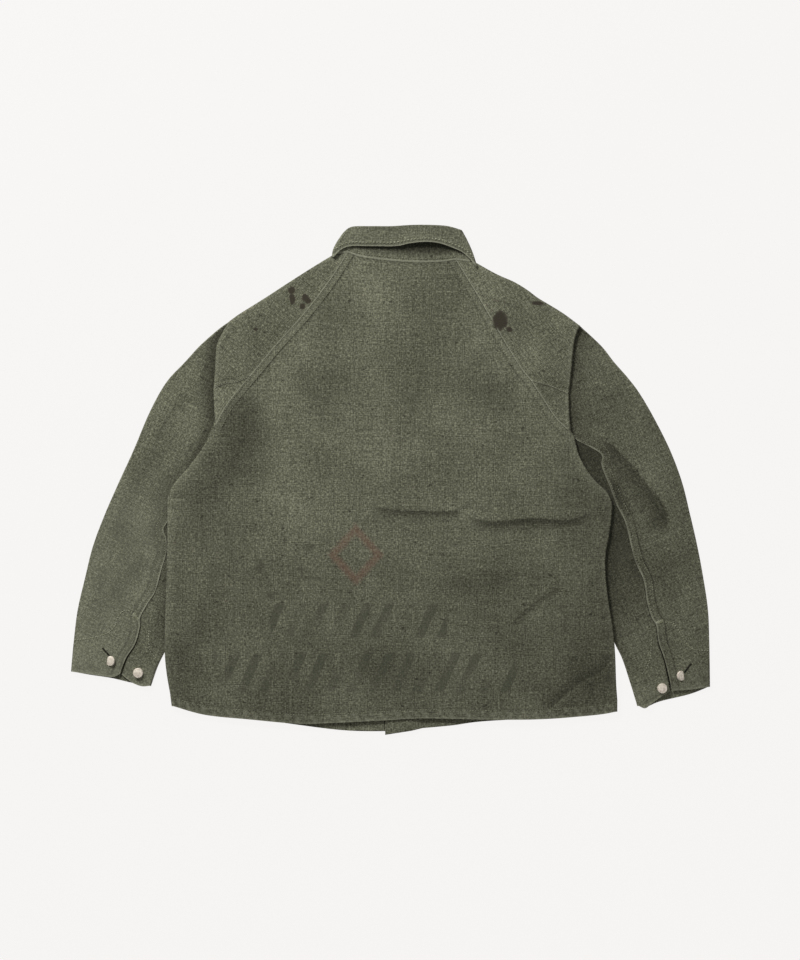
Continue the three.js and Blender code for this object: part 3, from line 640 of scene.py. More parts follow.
def cuff_wear_and_highlight(cuff, x, y, side, seed):
    """Pale rubbed edge of a cuff, paler cloth above it, and painted highlights on the crinkles along it."""
    crinkle_highlight = np.clip(ripple(x, y, 13, seed), 0, 1)
    return 0.35 * bell(cuff, 0, 3) + (CUFF_WEAR[side] + 0.2 * crinkle_highlight) * (1 - smooth(cuff, 14, CUFF_DEPTH))


for side in SIDES:
    flip = side == "right"
    turn = GRAIN_TURN[side]
    seam = spline(BACK_SEAM[side], 130)
    outer = spline(OUTER[side], 170)
    top_inner = joined((CREASE_UPPER[side], 40), (BACK_SEAM[side], 130))
    body_line = joined((FOLD_UPPER[side], 10), (FOLD_LOWER[side], 10), (BODY_EDGE_LINE[side], 40))
    low = BACK_SEAM[side][-1][1]

    def vent(line):
        return SEAM + VENT_OPEN * np.clip((VENT_TOP[side] - line[:, 1]) / (VENT_TOP[side] - low), 0, 1)

    def sleeve_form(x, y):
        apart, sign, _ = nearest(body_line, x, y)
        shown = smooth(apart * sign * (1 if flip else -1), 3, 26)
        edge = smooth(depth_in(sleeve_shapes, x, y), 2, 20)
        waves = 0.5 * ripple(x, y, 95, 11) + 0.25 * ripple(x, y, 38, 12)
        return sleeve_height(x, y) + shown * edge * (1.0 + waves + creased(SLEEVE_CREASES[side], x, y))

    out = outward(outer, top_inner)
    radius, start = drawn_in(outer, out, SLEEVE_EDGE, FLOOR)
    inner = top_inner - outward(top_inner, outer) * vent(top_inner)[:, None]
    columns = np.concatenate([np.linspace(0, 0.82, 34), np.linspace(0.83, 0.95, 12),
                              np.linspace(0.957, 1, 12)])
    top = raised(net(start, inner, [], TOP_CUFF[side], columns), sleeve_form)
    roll = rolled(top[:, 0], out, radius, FLOOR + 2 * PARTING, QUARTER)
    x, y = top[..., 0], top[..., 1]
    apart, _, where = nearest(seam, x, y)
    fell = 1 - smooth(apart, FELL_WIDTH - 1.5, FELL_WIDTH + 0.5)
    groove = bell(apart, 3, 1.1) + bell(apart, FELL_WIDTH - 2, 1.1)
    pucker = 0.16 * np.sin(where * 210) + 0.1 * np.sin(where * 131 + 1)
    extra = fell * (FELL_EXTRA + pucker) - 0.25 * groove * fell
    cuff_line = spline([OUTER[side][-1], *TOP_CUFF[side], BACK_SEAM[side][-1]], 20)
    cuff = nearest(cuff_line, x, y)[0]
    extra = np.maximum(extra, cuff_relief(cuff))
    # Painted highlight along the raised edge of the felled seam and painted light on the lower left sleeve;
    # the cuff adds its pale rubbed edge and painted crinkle highlights.
    seam_highlight_strength = np.clip(0.42 + 0.22 * ripple(x, y, 24, 74), 0.1, 0.7)
    wear_and_highlight = seam_highlight_strength * bell(apart, 0.8, 1.5) + SLEEVE_PAINTED_LIGHT[side] * smooth(-y, -60, 80)
    wear_and_highlight = wear_and_highlight + cuff_wear_and_highlight(cuff, x, y, side, 71)
    # Painted shade beside the shoulder fold and the body, in the shallow troughs, in the seam's grooves, and
    # over the whole right sleeve.
    body_gap, _, beside_body = nearest(body_line, x, y)
    by_fold, by_body, spread = FOLD_SHADE[side]
    shade = mix(by_fold, by_body, smooth(beside_body, 0.3, 0.45)) * bell(body_gap, 0, spread)
    shade = np.maximum(shade, 0.88 * painted_trough_shade(SLEEVE_CREASES[side], x, y))
    for centre, width, strength in FELL_SHADES:
        shade = np.maximum(shade, strength * bell(apart, centre, width) * smooth(where, 0.1, 0.2))
    shade = np.maximum(shade, SLEEVE_SHADE[side])
    marks = {"wear_and_highlight": wear_and_highlight, "painted_shade": shade, **painted_fold_shadows(SLEEVE_CREASES[side], x, y)}
    piece = cloth("top_sleeve_" + side, np.concatenate([roll, top], 1), flip, grain_turn=turn, extra=extra,
                  marks=marks, bare=(len(QUARTER), 0))

    inner = spline(INNER[side], 130)
    inner_out = outward(inner, seam)
    radius, start = drawn_in(inner, inner_out, SLEEVE_EDGE, FLOOR)
    outer = seam - outward(seam, inner) * vent(seam)[:, None]
    columns = np.concatenate([np.linspace(0, 0.1, 9), np.linspace(0.13, 1, 26)])
    under = raised(net(outer, start, [], UNDER_CUFF[side], columns), sleeve_form)
    roll = rolled(under[:, -1], inner_out, radius, FLOOR + 2 * PARTING, QUARTER)
    cuff_line = spline([BACK_SEAM[side][-1], *UNDER_CUFF[side], INNER[side][-1]], 20)
    x, y = under[..., 0], under[..., 1]
    cuff = nearest(cuff_line, x, y)[0]
    seam_gap, _, along_seam = nearest(seam, x, y)
    body_gap = nearest(body_line, x, y)[0]
    # Painted shade: strongest at the top and the armpit and fading towards the cuff, beside the body, and
    # along the seam.
    shade = UNDER_SHADE[side] * (1 - smooth(along_seam, 0.4, 1)) + 0.3 * bell(body_gap, 0, 16)
    shade = shade + ARMPIT_SHADE[side] * (1 - smooth(along_seam, 0.22, 0.42))
    shade = np.maximum(shade, 0.85 * bell(seam_gap, 0, 2))
    marks = {"wear_and_highlight": cuff_wear_and_highlight(cuff, x, y, side, 72), "painted_shade": np.minimum(shade, 0.85)}
    if flip:
        spread = np.hypot((x - SMUDGE[0]) / SMUDGE[2], (y - SMUDGE[1]) / SMUDGE[3])
        marks["soil"] = 0.55 * (1 - smooth(spread, 0.5, 1.1))
    piece = cloth("under_sleeve_" + side, np.concatenate([under, roll[:, ::-1]], 1), flip, grain_turn=turn,
                  extra=cuff_relief(cuff), marks=marks, bare=(0, len(QUARTER)))

    lap_line = seam[seam[:, 1] < VENT_TOP[side] + 6]
    lap_out = outward(lap_line, np.broadcast_to(inner[-1], lap_line.shape))
    offsets = np.linspace(16, -6, 8)
    lap = np.dstack([lap_line[:, None] + lap_out[:, None] * offsets[None, :, None],
                     np.full((len(lap_line), 8), FLOOR + OVERLAP)])
    lap[:, :, 1] += 3 * smooth(np.linspace(0, 1, len(lap_line)), 0.8, 1)[:, None]
    piece = cloth("cuff_underlap_" + side, lap, flip, grain_turn=turn)

# Back: one wide panel of the canvas, stained and faded. Its sides fold under and go on to the side seams;
# its hem is turned up and sewn. The raglan seams are felled towards it, which leaves a raised strip.
RAGLAN_UPPER = {
    "left": [[-64, 340], [-94, 294], [-133, 244], [-170, 203], [-209, 156]],
    "right": [[98, 329], [128, 280], [160, 225], [193, 171], [211, 148]],
}
RAGLAN_LOWER = {
    "left": [[-209, 156], [-242, 116], [-260, 84]],
    "right": [[211, 148], [229, 120], [247, 93], [264, 76]],
}
HEM_LINE = {"left": [-330, -323.5], "right": [340, -331.5]}
HEM_CORNER = {"left": [-328, -339], "right": [340, -347]}
BACK_NECK = [[-44, 334], [-15, 330], [16, 327], [50, 326], [80, 327]]
BACK_HEM = [[-277, -352], [-208, -359], [-139, -365], [-91, -364], [-10, -360], [49, -357], [158, -359],
            [233, -358], [308, -352]]
RAGLAN_FELL = 10
PRINT_BANDS = [(-188, 90, -180, -240), (-270, 194, -255, -322)]
RING_CENTRE = (-52, -112)
RING_HALF = (48, 53)
BACK_CREASES = [
    ([[-40, -40], [7, -45], [40, -47], [75, -47], [98, -46], [112, -36], [126, -20]], 1.9, 5),
    ([[108, -46], [122, -56], [151, -63], [188, -60], [215, -58], [245, -60], [272, -60], [290, -52],
      [322, -38]], 2.4, 5.5),
    ([[170, -226], [190, -206], [208, -189], [236, -170], [268, -150]], 1.6, 4),
    ([[348, -246], [332, -264], [315, -286], [278, -308], [238, -343], [222, -358]], 2.5, 6),
    ([[-270, 60], [-262, 10], [-250, -50], [-246, -110]], 1.1, 20),
    ([[250, 60], [268, 20], [286, -20], [296, -60]], 1.0, 14),
    ([[-150, 180], [-110, 120], [-80, 60]], 0.6, 18),
    ([[120, 200], [150, 140], [170, 80]], 0.6, 18),
    ([[-290, -120], [-240, -140], [-170, -150]], 0.6, 14),
    ([[60, -150], [130, -160], [200, -140]], 0.6, 14),
    ([[-60, -300], [20, -290], [110, -300]], 0.6, 16),
]
STAIN_SPOTS = [(-148, 284, 6, 6), (-147, 271, 5, 9), (-128, 273, 6, 6), (-123, 268, 5, 4.5),
               (-132, 260, 5, 5), (-202, 226, 4, 3), (164, 239, 12, 15), (178, 225, 4.5, 4.5),
               (222, 265, 12, 3.5)]
STREAKS = [([[133, 277], [165, 267], [194, 257]], 5, 0.5), ([[140, 268], [164, 239]], 4, 0.45),
           ([[151, 300], [199, 284]], 4, 0.35)]
SOIL_SPOTS = [(-196, -129, 8, 12), (-200, -108, 3, 3), (-178, -172, 11, 7), (-155, -156, 4, 4),
              (-133, -134, 6, 9), (-124, -101, 9, 7), (-120, -147, 20, 4)]


def spots(places, x, y, ragged=1.0):
    total = np.zeros(np.shape(x))
    for cx, cy, rx, ry in places:
        reach = np.hypot((x - cx) / rx, (y - cy) / ry) + 0.13 * ragged * ripple(x, y, 9, 31)
        total = np.maximum(total, 1 - smooth(reach, 0.75, 1.2))
    return total


def stained(x, y):
    total = spots(STAIN_SPOTS, x, y)
    for points, width, strength in STREAKS:
        apart = nearest(spline(points, 10), x, y)[0]
        total = np.maximum(total, strength * bell(apart, 0, width))
    return total


raglan = {side: joined((RAGLAN_UPPER[side], 60), (RAGLAN_LOWER[side], 20)) for side in SIDES}
fold_edge = {}
for side in SIDES:
    hem_end = [BODY_EDGE_LINE[side][-1], HEM_LINE[side], HEM_CORNER[side]]
    fold_edge[side] = joined((BODY_EDGE_LINE[side], 60), (hem_end, 6))
hem_line = spline([HEM_CORNER["left"], *BACK_HEM, HEM_CORNER["right"]], 80)


def body_form(x, y):
    """Height of the back and shoulders with their puffed fold edges, creases and waves."""
    side_gap = np.minimum(*[nearest(fold_edge[side], x, y)[0] for side in SIDES])
    puff = 1.7 * bell(side_gap, 12, 13) - 0.8 * bell(side_gap, 62, 20)
    calm = smooth(side_gap, 0, 14)
    waves = 0.45 * ripple(x, y, 130, 21) + 0.22 * ripple(x, y, 48, 22)
    neck = 1 - 0.8 * near_neck(x, y)
    return top_height(x, y) + neck * (puff + calm * (waves + creased(BACK_CREASES, x, y)))


UPPER_ROWS = 84
LOWER_ROWS = 28
FIRST_FOLD = UPPER_ROWS + LOWER_ROWS
lines = {}
for side in SIDES:
    lines[side] = joined((RAGLAN_UPPER[side], UPPER_ROWS), (RAGLAN_LOWER[side], LOWER_ROWS),
                         (BODY_EDGE_LINE[side], 104), ([BODY_EDGE_LINE[side][-1], HEM_LINE[side]], 1),
                         ([HEM_LINE[side], HEM_CORNER[side]], 8))
ROWS = len(lines["left"])
starts = {}
radii = {}
outs = {}
for side, other in (SIDES, SIDES[::-1]):
    line = lines[side]
    out = outward(line, lines[other])
    radius, pulled = drawn_in(line, out, body_form(*line.T), return_height(*line.T))
    folded = np.arange(ROWS) > FIRST_FOLD
    blend = smooth(np.arange(ROWS), FIRST_FOLD, FIRST_FOLD + 10)[:, None]
    starts[side] = mix(line - out * SEAM, pulled, np.where(folded[:, None], blend, 0))
    radii[side] = radius
    outs[side] = out
columns = np.concatenate([np.linspace(0, 0.035, 14), np.linspace(0.04, 0.96, 118), np.linspace(0.965, 1, 14)])
panel = raised(net(starts["left"], starts["right"], BACK_NECK, BACK_HEM, columns), body_form)
RETURN_SHARES = np.linspace(1, 0.04, 16)
wings = []
for side, index in zip(SIDES, (0, -1)):
    flat = panel[:, index]
    under = return_height(flat[:, 0], flat[:, 1])
    roll = rolled(flat, outs[side], radii[side], under, HALF)
    seam = spline(SIDE_SEAM[side], ROWS - 1 - FIRST_FOLD)
    seam = np.vstack([np.repeat(seam[:1], FIRST_FOLD, 0), seam])
    turned = flat[:, None, :2] + (seam - flat[:, :2])[:, None] * (RETURN_SHARES * 0.998)[None, :, None]
    turned = raised(turned, return_height)
    wing = np.concatenate([turned, roll], 1)
    wing[:FIRST_FOLD] = np.nan
    wings.append(wing)
wall = np.concatenate([wings[0], panel, wings[1][:, ::-1]], 1)
x, y = panel[..., 0], panel[..., 1]
hem_gap, _, along_hem = nearest(hem_line, x, y)
side_gap = np.minimum(*[nearest(fold_edge[side], x, y)[0] for side in SIDES])
raglan_reads = [nearest(raglan[side], x, y) for side in SIDES]
raglan_gap = np.minimum(raglan_reads[0][0], raglan_reads[1][0])
along_raglan = np.where(raglan_reads[0][0] < raglan_reads[1][0], raglan_reads[0][2], raglan_reads[1][2])
hem = 1 - smooth(hem_gap, HEM_DEPTH - 2, HEM_DEPTH)
roping = 0.22 * np.sin(along_hem * 330 + hem_gap * 0.35) + 0.12 * np.sin(along_hem * 201)
fell = 1 - smooth(raglan_gap, RAGLAN_FELL - 1, RAGLAN_FELL + 1)
groove = bell(raglan_gap, 1.6, 0.9) + bell(raglan_gap, RAGLAN_FELL - 1.2, 0.9)
pucker = 0.14 * np.sin(along_raglan * 160) + 0.1 * np.sin(along_raglan * 97 + 2)
extra = hem * (HEM_EXTRA + roping) - 0.4 * bell(hem_gap, HEM_DEPTH - 2, 1.2)
extra = extra + fell * (0.55 + pucker) - 0.25 * groove * fell
wear_and_highlight = 0.3 * bell(hem_gap, 0, 2) + 0.1 * bell(side_gap, 0, 7)
wear_and_highlight = wear_and_highlight + 0.08 * fell + hem * np.clip(roping, 0, 1)
neck_line = spline([RAGLAN_UPPER["left"][0], *BACK_NECK, RAGLAN_UPPER["right"][0]], 40)
left_gap = nearest(fold_edge["left"], x, y)[0]
# Painted shade: in the shallow troughs, in a band inside the left fold edge, along the neck seam under the
# collar, towards the lower right, growing towards the hem, in the raglan seam and its groove, and above the
# hem.
shade = 0.7 * painted_trough_shade(BACK_CREASES, x, y)
shade = np.maximum(shade, 0.5 * bell(left_gap, 50, 32) * smooth(y, -160, -60))
shade = np.maximum(shade, 0.55 * bell(nearest(neck_line, x, y)[0], 0, 1.5))
shade = np.maximum(shade, 0.34 * smooth(x, 190, 330) * (1 - smooth(y, -60, 80)))
shade = shade + 0.2 * smooth(-y, 40, 330) * (1 - shade)
for gap, centre, width, strength in ((raglan_gap, 0.2, 1.3, 0.6), (raglan_gap, RAGLAN_FELL, 1.3, 0.45),
                                     (hem_gap, HEM_DEPTH - 1, 2, 0.6)):
    shade = np.maximum(shade, strength * bell(gap, centre, width))
printed = np.zeros(x.shape)
for left, right, top, bottom in PRINT_BANDS:
    inside = smooth(x, left, left + 8) * (1 - smooth(x, right - 8, right))
    printed = np.maximum(printed, inside * smooth(y, bottom, bottom + 6) * (1 - smooth(y, top - 6, top)))
printed = printed * np.clip(0.75 + 0.5 * ripple(x, y, 60, 41), 0.25, 1)
lozenge = abs(x - RING_CENTRE[0]) / RING_HALF[0] + abs(y - RING_CENTRE[1]) / RING_HALF[1]
red = bell(lozenge, 0.72, 0.2)
dark = 0.75 * spots(SOIL_SPOTS, x, y, 1.6)
marks = {"stain": stained(x, y), "soil": dark, "print": printed, "red": red, "wear_and_highlight": wear_and_highlight, "painted_shade": shade,
         **painted_fold_shadows(BACK_CREASES, x, y)}
wing_width = wings[0].shape[1]
back = cloth("back", wall, extra=extra, marks=marks, bare=(wing_width, wing_width))

# Shoulders and underarms: the tops of the two sleeve pieces, sewn to the back along the raglan seams and to
# each other across the shoulder. They fold back on the sleeve below them.
CROSS_SEAM = {"left": [[-260, 139], [-248, 144], [-229, 147]], "right": [[254, 134], [238, 141]]}
SHOULDER_CUT = {"left": (0.115, 0.28), "right": (0.12, 0.27)}
UNDERARM_CUT = (0.075, 0.105)
SHOULDER_TURN = {"left": -0.62, "right": 0.62}
for side in SIDES:
    cross_line = spline([FOLD_UPPER[side][-1], *CROSS_SEAM[side], RAGLAN_UPPER[side][-1]], 30)
    for node, outer_parts, raglan_part, crease_part, top_middle, low_middle, size in (
        ("shoulder_", ((SHOULDER_LINE[side], 84), (FOLD_UPPER[side], 60)), RAGLAN_UPPER[side],
         CREASE_UPPER[side], [], CROSS_SEAM[side], SHOULDER_CUT[side]),
        ("underarm_", ((FOLD_LOWER[side], 48),), RAGLAN_LOWER[side], CREASE_LOWER[side],
         CROSS_SEAM[side], [], UNDERARM_CUT),
    ):
        outer = joined(*outer_parts)
        rows = len(outer)
        first = rows - 1 - outer_parts[-1][1]
        inner = spline(raglan_part, rows - 1)
        out = outward(outer, inner)
        lower = np.where(np.arange(rows) < first, floor_height(*outer.T), return_height(*outer.T))
        radius, start = drawn_in(outer, out, body_form(*outer.T), lower)
        flat = net(start, inner - outward(inner, outer) * SEAM, top_middle, low_middle,
                   np.concatenate([np.linspace(0, 0.8, 34), np.linspace(0.82, 1, 16)]))
        gap = np.array([0, SEAM])
        flat[-1 if node == "shoulder_" else 0] += gap if node == "shoulder_" else -gap
        body = raised(flat, body_form)
        roll = rolled(body[:, 0], out, radius, lower, HALF)
        crease = spline(crease_part, rows - 1 - first)
        crease = np.vstack([np.repeat(crease[:1], first, 0), crease])
        shares = np.linspace(0.99, 0.1, 8)[None, :, None]
        turned = body[:, :1, :2] + (crease - body[:, 0, :2])[:, None] * shares
        turned = raised(turned, return_height)
        wing = np.concatenate([turned, roll], 1)
        wing[:first, :len(wing[0]) - len(QUARTER)] = np.nan
        x, y = body[..., 0], body[..., 1]
        seam_gap = nearest(inner, x, y)[0]
        cross_gap, _, along_cross = nearest(cross_line, x, y)
        extra = np.zeros(x.shape)
        if node == "shoulder_":
            fell = 1 - smooth(cross_gap, 8, 10)
            extra = fell * (0.45 + 0.12 * np.sin(along_cross * 60))
        # Painted highlight along the raglan seam's edge and on the cross seam, with a pale rubbed outer edge;
        # painted shade in the cross seam's groove.
        wear_and_highlight = 0.75 * bell(seam_gap, 0, 1.3) + 0.2 * bell(nearest(outer, x, y)[0], 0, 5)
        if node == "shoulder_":
            wear_and_highlight = wear_and_highlight + 0.5 * bell(cross_gap, 0, 1.4)
            shade = 0.4 * bell(cross_gap, 9, 1.4)
        else:
            shade = 0.6 * bell(cross_gap, 0, 1.6)
        marks = {"stain": stained(x, y), "wear_and_highlight": wear_and_highlight, "painted_shade": shade}
        piece = cloth(node + side, np.concatenate([wing, body], 1), side == "right",
                      grain_turn=SHOULDER_TURN[side], extra=extra, marks=marks, bare=(wing.shape[1], 0))

# Collar: two layers of canvas sewn together. At the back it stands up from the neck seam, rolls over and
# falls back on itself; its front halves lie spread on the chest under the fronts.
COLLAR_CLOTH = 2.0
ROLL_RADIUS = 2.3
FALL = 10.6
FALL_LIFT = 4
SPLIT = 6.4
SIDE_BEND = 2.4
STAND_NECK = [[-82, 339.5], [-64, 340.5], [-44, 334.5], [-15, 330.5], [16, 327.5], [50, 326.5], [80, 327.5],
              [98, 330], [122, 327]]
COLLAR_ROLL = [[-58, 379], [-28, 380], [2, 380], [32, 381.8], [62, 381.8], [86, 380]]
COLLAR_EDGE = [[-65, 349], [-32, 350], [8, 350], [29, 354], [52, 356], [73, 354], [94, 347], [110, 339]]
COLLAR_ENDS = {"left": [[-71, 370], [-80, 357], [-86, 345], [-88, 334]],
               "right": [[107, 374], [116, 357], [123, 341], [130, 320]]}
TOPSTITCH = 5.5
LEAF_SIDE = {"left": [*COLLAR_ENDS["left"][:2], [-86, 341]], "right": [*COLLAR_ENDS["right"][:2], [125, 330]]}
LEAF_POINT = {"left": [-60, 225], "right": [100, 215]}
LEAF_ROLL = {"left": [[-58, 374], [14, 262]], "right": [[94, 377], [20, 262]]}
COLUMNS = 96
FALL_ROWS = 24
SIDE_ROWS = 32
POINT_ROWS = 24
ends = [spline(COLLAR_ENDS[side], FALL_ROWS) for side in SIDES]
fall = net(ends[0], ends[1], COLLAR_ROLL, COLLAR_EDGE, COLUMNS)
neck = spline(STAND_NECK, COLUMNS)
out = outward(fall[0], neck)
pulled = fall[0] - out * (ROLL_RADIUS + COLLAR_CLOTH / 2)
stand_low = BODY_CENTRE + NECK_RISE
stand_high = stand_low + 0.6
rise = np.array([0, 0.02, 0.04, 0.07, 0.12, 0.2, 0.34, 0.52, 0.76, 1])[:, None, None]
stand = mix(neck, pulled, rise)
stand = np.dstack([stand, np.broadcast_to(mix(stand_low, stand_high, rise[..., 0]), stand.shape[:2])])
tucked = np.dstack([np.stack([neck - [0, 9], neck - [0, 2]]),
                    np.broadcast_to([[4.4], [5.0]], (2, COLUMNS + 1))])
stand = np.concatenate([tucked, stand])
stand[:, [0, -1]] = np.nan
bend = np.radians(np.arange(15, 180, 15))[:, None]
roll = np.dstack([pulled[None] + out[None] * (ROLL_RADIUS * np.sin(bend))[..., None],
                  np.broadcast_to(stand_high + ROLL_RADIUS * (1 - np.cos(bend)), (len(bend), COLUMNS + 1))])
t = np.linspace(0, 1, FALL_ROWS + 1)[:, None]
fall[0] = pulled
lift = FALL_LIFT * bell(fall[..., 0], 55, 38) * t**2
soft = 0.25 * ripple(fall[..., 0], fall[..., 1], 40, 51) * smooth(t, 0.1, 0.5)
fall = np.dstack([fall, mix(stand_high + 2 * ROLL_RADIUS, FALL, t) + lift + soft])
borders = []
for line, other, index in ((ends[0], ends[1], 0), (ends[1], ends[0], -1)):
    side_out = outward(line, other)
    border = line.copy()
    border[0] = mix(line[0], line[1], 0.15 * FALL_ROWS / 4)
    fall[:, index, :2] = border - side_out * (SIDE_BEND + COLLAR_CLOTH / 2)
    bent = side_out[:, None] * (SIDE_BEND * np.sin(QUARTER))[None, :, None]
    edge = np.dstack([fall[:, index, None, :2] + bent,
                      fall[:, index, None, 2] - SIDE_BEND * (1 - np.cos(QUARTER))[None]])
    foot = edge[:, :1].copy()
    foot[..., 2] = SPLIT + 0.15
    borders.append(np.concatenate([foot, edge], 1))
inside = 6
for index, step in ((0, 1), (COLUMNS, -1)):
    far = fall[:, index + step * inside, :2]
    for k in range(1, inside):
        fall[:, index + step * k, :2] = mix(fall[:, index, :2], far, k / inside)
width = borders[0].shape[1]
beside_stand = missing(len(stand) + len(roll), width)
collar = np.concatenate([
    np.concatenate([beside_stand, np.concatenate([stand, roll]), beside_stand], 1),
    np.concatenate([borders[0], fall, borders[1][:, ::-1]], 1),
])[::-1]
edge_line = spline([COLLAR_ENDS["left"][-1], *COLLAR_EDGE, COLLAR_ENDS["right"][-1]], 80)
edge_gap, _, along_edge = nearest(edge_line, collar[..., 0], collar[..., 1])
on_fall = collar[..., 2] > stand_high + ROLL_RADIUS
neck_gap, _, along_neck = nearest(neck, collar[..., 0], collar[..., 1])
pucker = np.clip(np.sin(along_edge * 262) + 0.6 * np.sin(along_edge * 171 + 1), 0, 1)
neck_pucker = np.clip(np.sin(along_neck * 160) + 0.6 * np.sin(along_neck * 101 + 1), 0, 1)
extra = np.where(on_fall, 0.3 * (pucker - 1) * bell(edge_gap, TOPSTITCH, 1.6),
                 0.25 * neck_pucker * bell(neck_gap, 7, 3))
# Painted highlight along the fall's edge and a slightly paler fall; on the stand, painted highlights along
# the neck seam and on its puckers.
fall_edge_highlight = 0.65 * bell(edge_gap, 0, 1.2)
stand_highlight = 0.7 * bell(neck_gap, 0.8, 1.1)
stand_highlight = stand_highlight + 0.22 * neck_pucker * bell(neck_gap, 7, 3)
wear_and_highlight = np.where(on_fall, fall_edge_highlight + 0.06, stand_highlight)
# Painted shade in a band just inside the fall's edge, and painted shadow on the stand under the fall.
shade = np.where(on_fall, 0.3 * bell(edge_gap, 2.8, 1.2), 0.85 * smooth(neck_gap, 6, 15))
piece = cloth("collar_back", collar, thickness=COLLAR_CLOTH, extra=np.nan_to_num(extra),
              marks={"wear_and_highlight": np.nan_to_num(wear_and_highlight), "painted_shade": np.nan_to_num(shade)})
for side in SIDES:
    line = joined((LEAF_SIDE[side], SIDE_ROWS), ([LEAF_SIDE[side][-1], LEAF_POINT[side]], POINT_ROWS))
    inner = spline(LEAF_ROLL[side], SIDE_ROWS + POINT_ROWS)
    side_out = outward(line, inner)
    turns = np.arange(len(line)) <= SIDE_ROWS
    start = np.where(turns[:, None], line - side_out * (SIDE_BEND + COLLAR_CLOTH / 2), line)
    leaf = raised(net(start, inner, [], [], 24), lambda x, y: np.full(np.shape(x), COLLAR_CLOTH / 2))
    edge = np.dstack([leaf[:, :1, :2] + side_out[:, None] * (SIDE_BEND * np.sin(QUARTER))[None, :, None],
                      leaf[:, :1, 2] + SIDE_BEND * (1 - np.cos(QUARTER))[None]])
    foot = edge[:, :1].copy()
    foot[..., 2] = SPLIT - 0.15
    edge = np.concatenate([foot, edge], 1)
    edge[~turns] = np.nan
    wall = np.concatenate([edge, leaf], 1)
    piece = cloth("collar_front_" + side, wall, side == "right", thickness=COLLAR_CLOTH)

# Sewing: thick cotton thread in a matching olive, faded paler than the cloth. Rows of straight lockstitch
# hold every seam, the hem and the collar; short dense bars close the tops of the vents and the buttonholes,
# and the buttonhole bars are nearly black to paint the shadow in their slits.
STITCH = 2.7
PITCH = 3.9
THREAD_RADIUS = 0.5
TOPSTITCH_RADIUS = 0.8
ARCH = ((0, -0.5), (0.12, 0.2), (0.5, 0.4), (0.88, 0.2), (1, -0.5))  # share of a stitch, height on the cloth


def thread(name, dark, pale):
    """Matt twisted thread whose shade wanders along the row."""
    material, tree = blank_material(name)
    spot = add(tree, "NewGeometry").outputs["Position"]
    shade = ramp(tree, noise(tree, spot, 9 * MM), [(0.3, dark), (0.7, pale)])
    finished(tree, {"Base Color": shade, "Roughness": 0.8, "Specular IOR Level": 0.2})
    return material


dyed = thread("overdyed_cotton_thread", "#535342", "#8b8b76")
faded = thread("faded_cotton_thread", "#77775f", "#a9a994")
# Near-black thread for the buttonholes: painted shadow in their slits.
slit_shadow = thread("slit_shadow_thread", "#16160f", "#2c2c22")


def beside(line, distance):
    """A line moved sideways; above zero is to its left as it runs."""
    step = np.gradient(line, axis=0)
    across = np.column_stack([-step[:, 1], step[:, 0]])
    return line + distance * across / np.linalg.norm(across, axis=1, keepdims=True)


def stitches(line, pitch=PITCH, length=STITCH):
    """Both ends of every stitch along a line."""
    total = np.hypot(*np.diff(line, axis=0).T).sum()
    middles = np.arange(pitch / 2, total, pitch)
    return list(zip(cut(line, (middles - length / 2) / total), cut(line, (middles + length / 2) / total)))


def bars(a, b, length, count):
    """A dense bar of short stitches across the line from a to b."""
    a, b = np.array(a, float), np.array(b, float)
    across = np.array([a[1] - b[1], b[0] - a[0]]) / np.hypot(*(b - a)) * length / 2
    return [(mix(a, b, t) - across, mix(a, b, t) + across) for t in np.linspace(0, 1, count)]


def sewn(name, pairs, nodes, material, radius=THREAD_RADIUS):
    """One mesh of small arched threads that lie on the highest cloth below them."""
    points = []
    faces = []
    ring = np.linspace(0, math.tau, 6)[:-1]
    for a, b in pairs:
        path = []
        for t, rise in ARCH:
            x, y = mix(np.asarray(a), np.asarray(b), t)
            hits = [surfaces[node].ray_cast(Vector((x, y, 60)), Vector((0, 0, -1)))[0] for node in nodes]
            tops = [hit.z for hit in hits if hit]
            if not tops:
                break
            path.append((x, y, max(tops) + rise))
        if len(path) < len(ARCH):
            continue
        run = np.array(b) - np.array(a)
        side = np.array([-run[1], run[0], 0]) / max(np.hypot(*run), 1e-6)
        first = len(points)
        for place in path:
            for angle in ring:
                offset = side * math.cos(angle) + np.array([0, 0, math.sin(angle)])
                points.append(np.array(place) + radius * offset)
        for k in range(first, first + 20, 5):
            for r in range(5):
                n = (r + 1) % 5
                faces.append([k + r, k + n, k + 5 + n, k + 5 + r])
        faces.append(list(range(first + 4, first - 1, -1)))
        faces.append(list(range(first + 20, first + 25)))
    mesh_piece(name, points, faces, material, 180)


body_nodes = ["back", "shoulder_left", "shoulder_right", "underarm_left", "underarm_right"]
pairs = stitches(hem_line + np.array([0, HEM_DEPTH - 2]))
for side in SIDES:
    inwards = 1 if side == "left" else -1
    pairs += stitches(beside(raglan[side], inwards * 1.6))
    pairs += stitches(beside(raglan[side], inwards * (RAGLAN_FELL - 1.2)))
    cross = spline([FOLD_UPPER[side][-1], *CROSS_SEAM[side], RAGLAN_UPPER[side][-1]], 20)
    for distance in (2, 8):
        pairs += stitches(beside(cross, inwards * distance)[1:-1])
sewn("body_stitching", pairs, body_nodes, dyed)
CUFF_LINES = {
    "left": [[[-474, -240], [-451, -237], [-430, -232], [-421, -227], [-412, -218], [-409, -206],
              [-398, -195], [-386, -199], [-381, -205]],
             [[-362, -225], [-362, -243], [-359, -258], [-350, -268]]],
    "right": [[[477, -256], [451, -252], [437, -234], [427, -218], [418, -213], [401, -214]],
              [[391, -238], [389, -266], [382, -284], [374, -292]]],
}
BUTTONHOLES = {"left": ([-431, -252], [-421, -263]), "right": ([450, -275], [440, -288])}
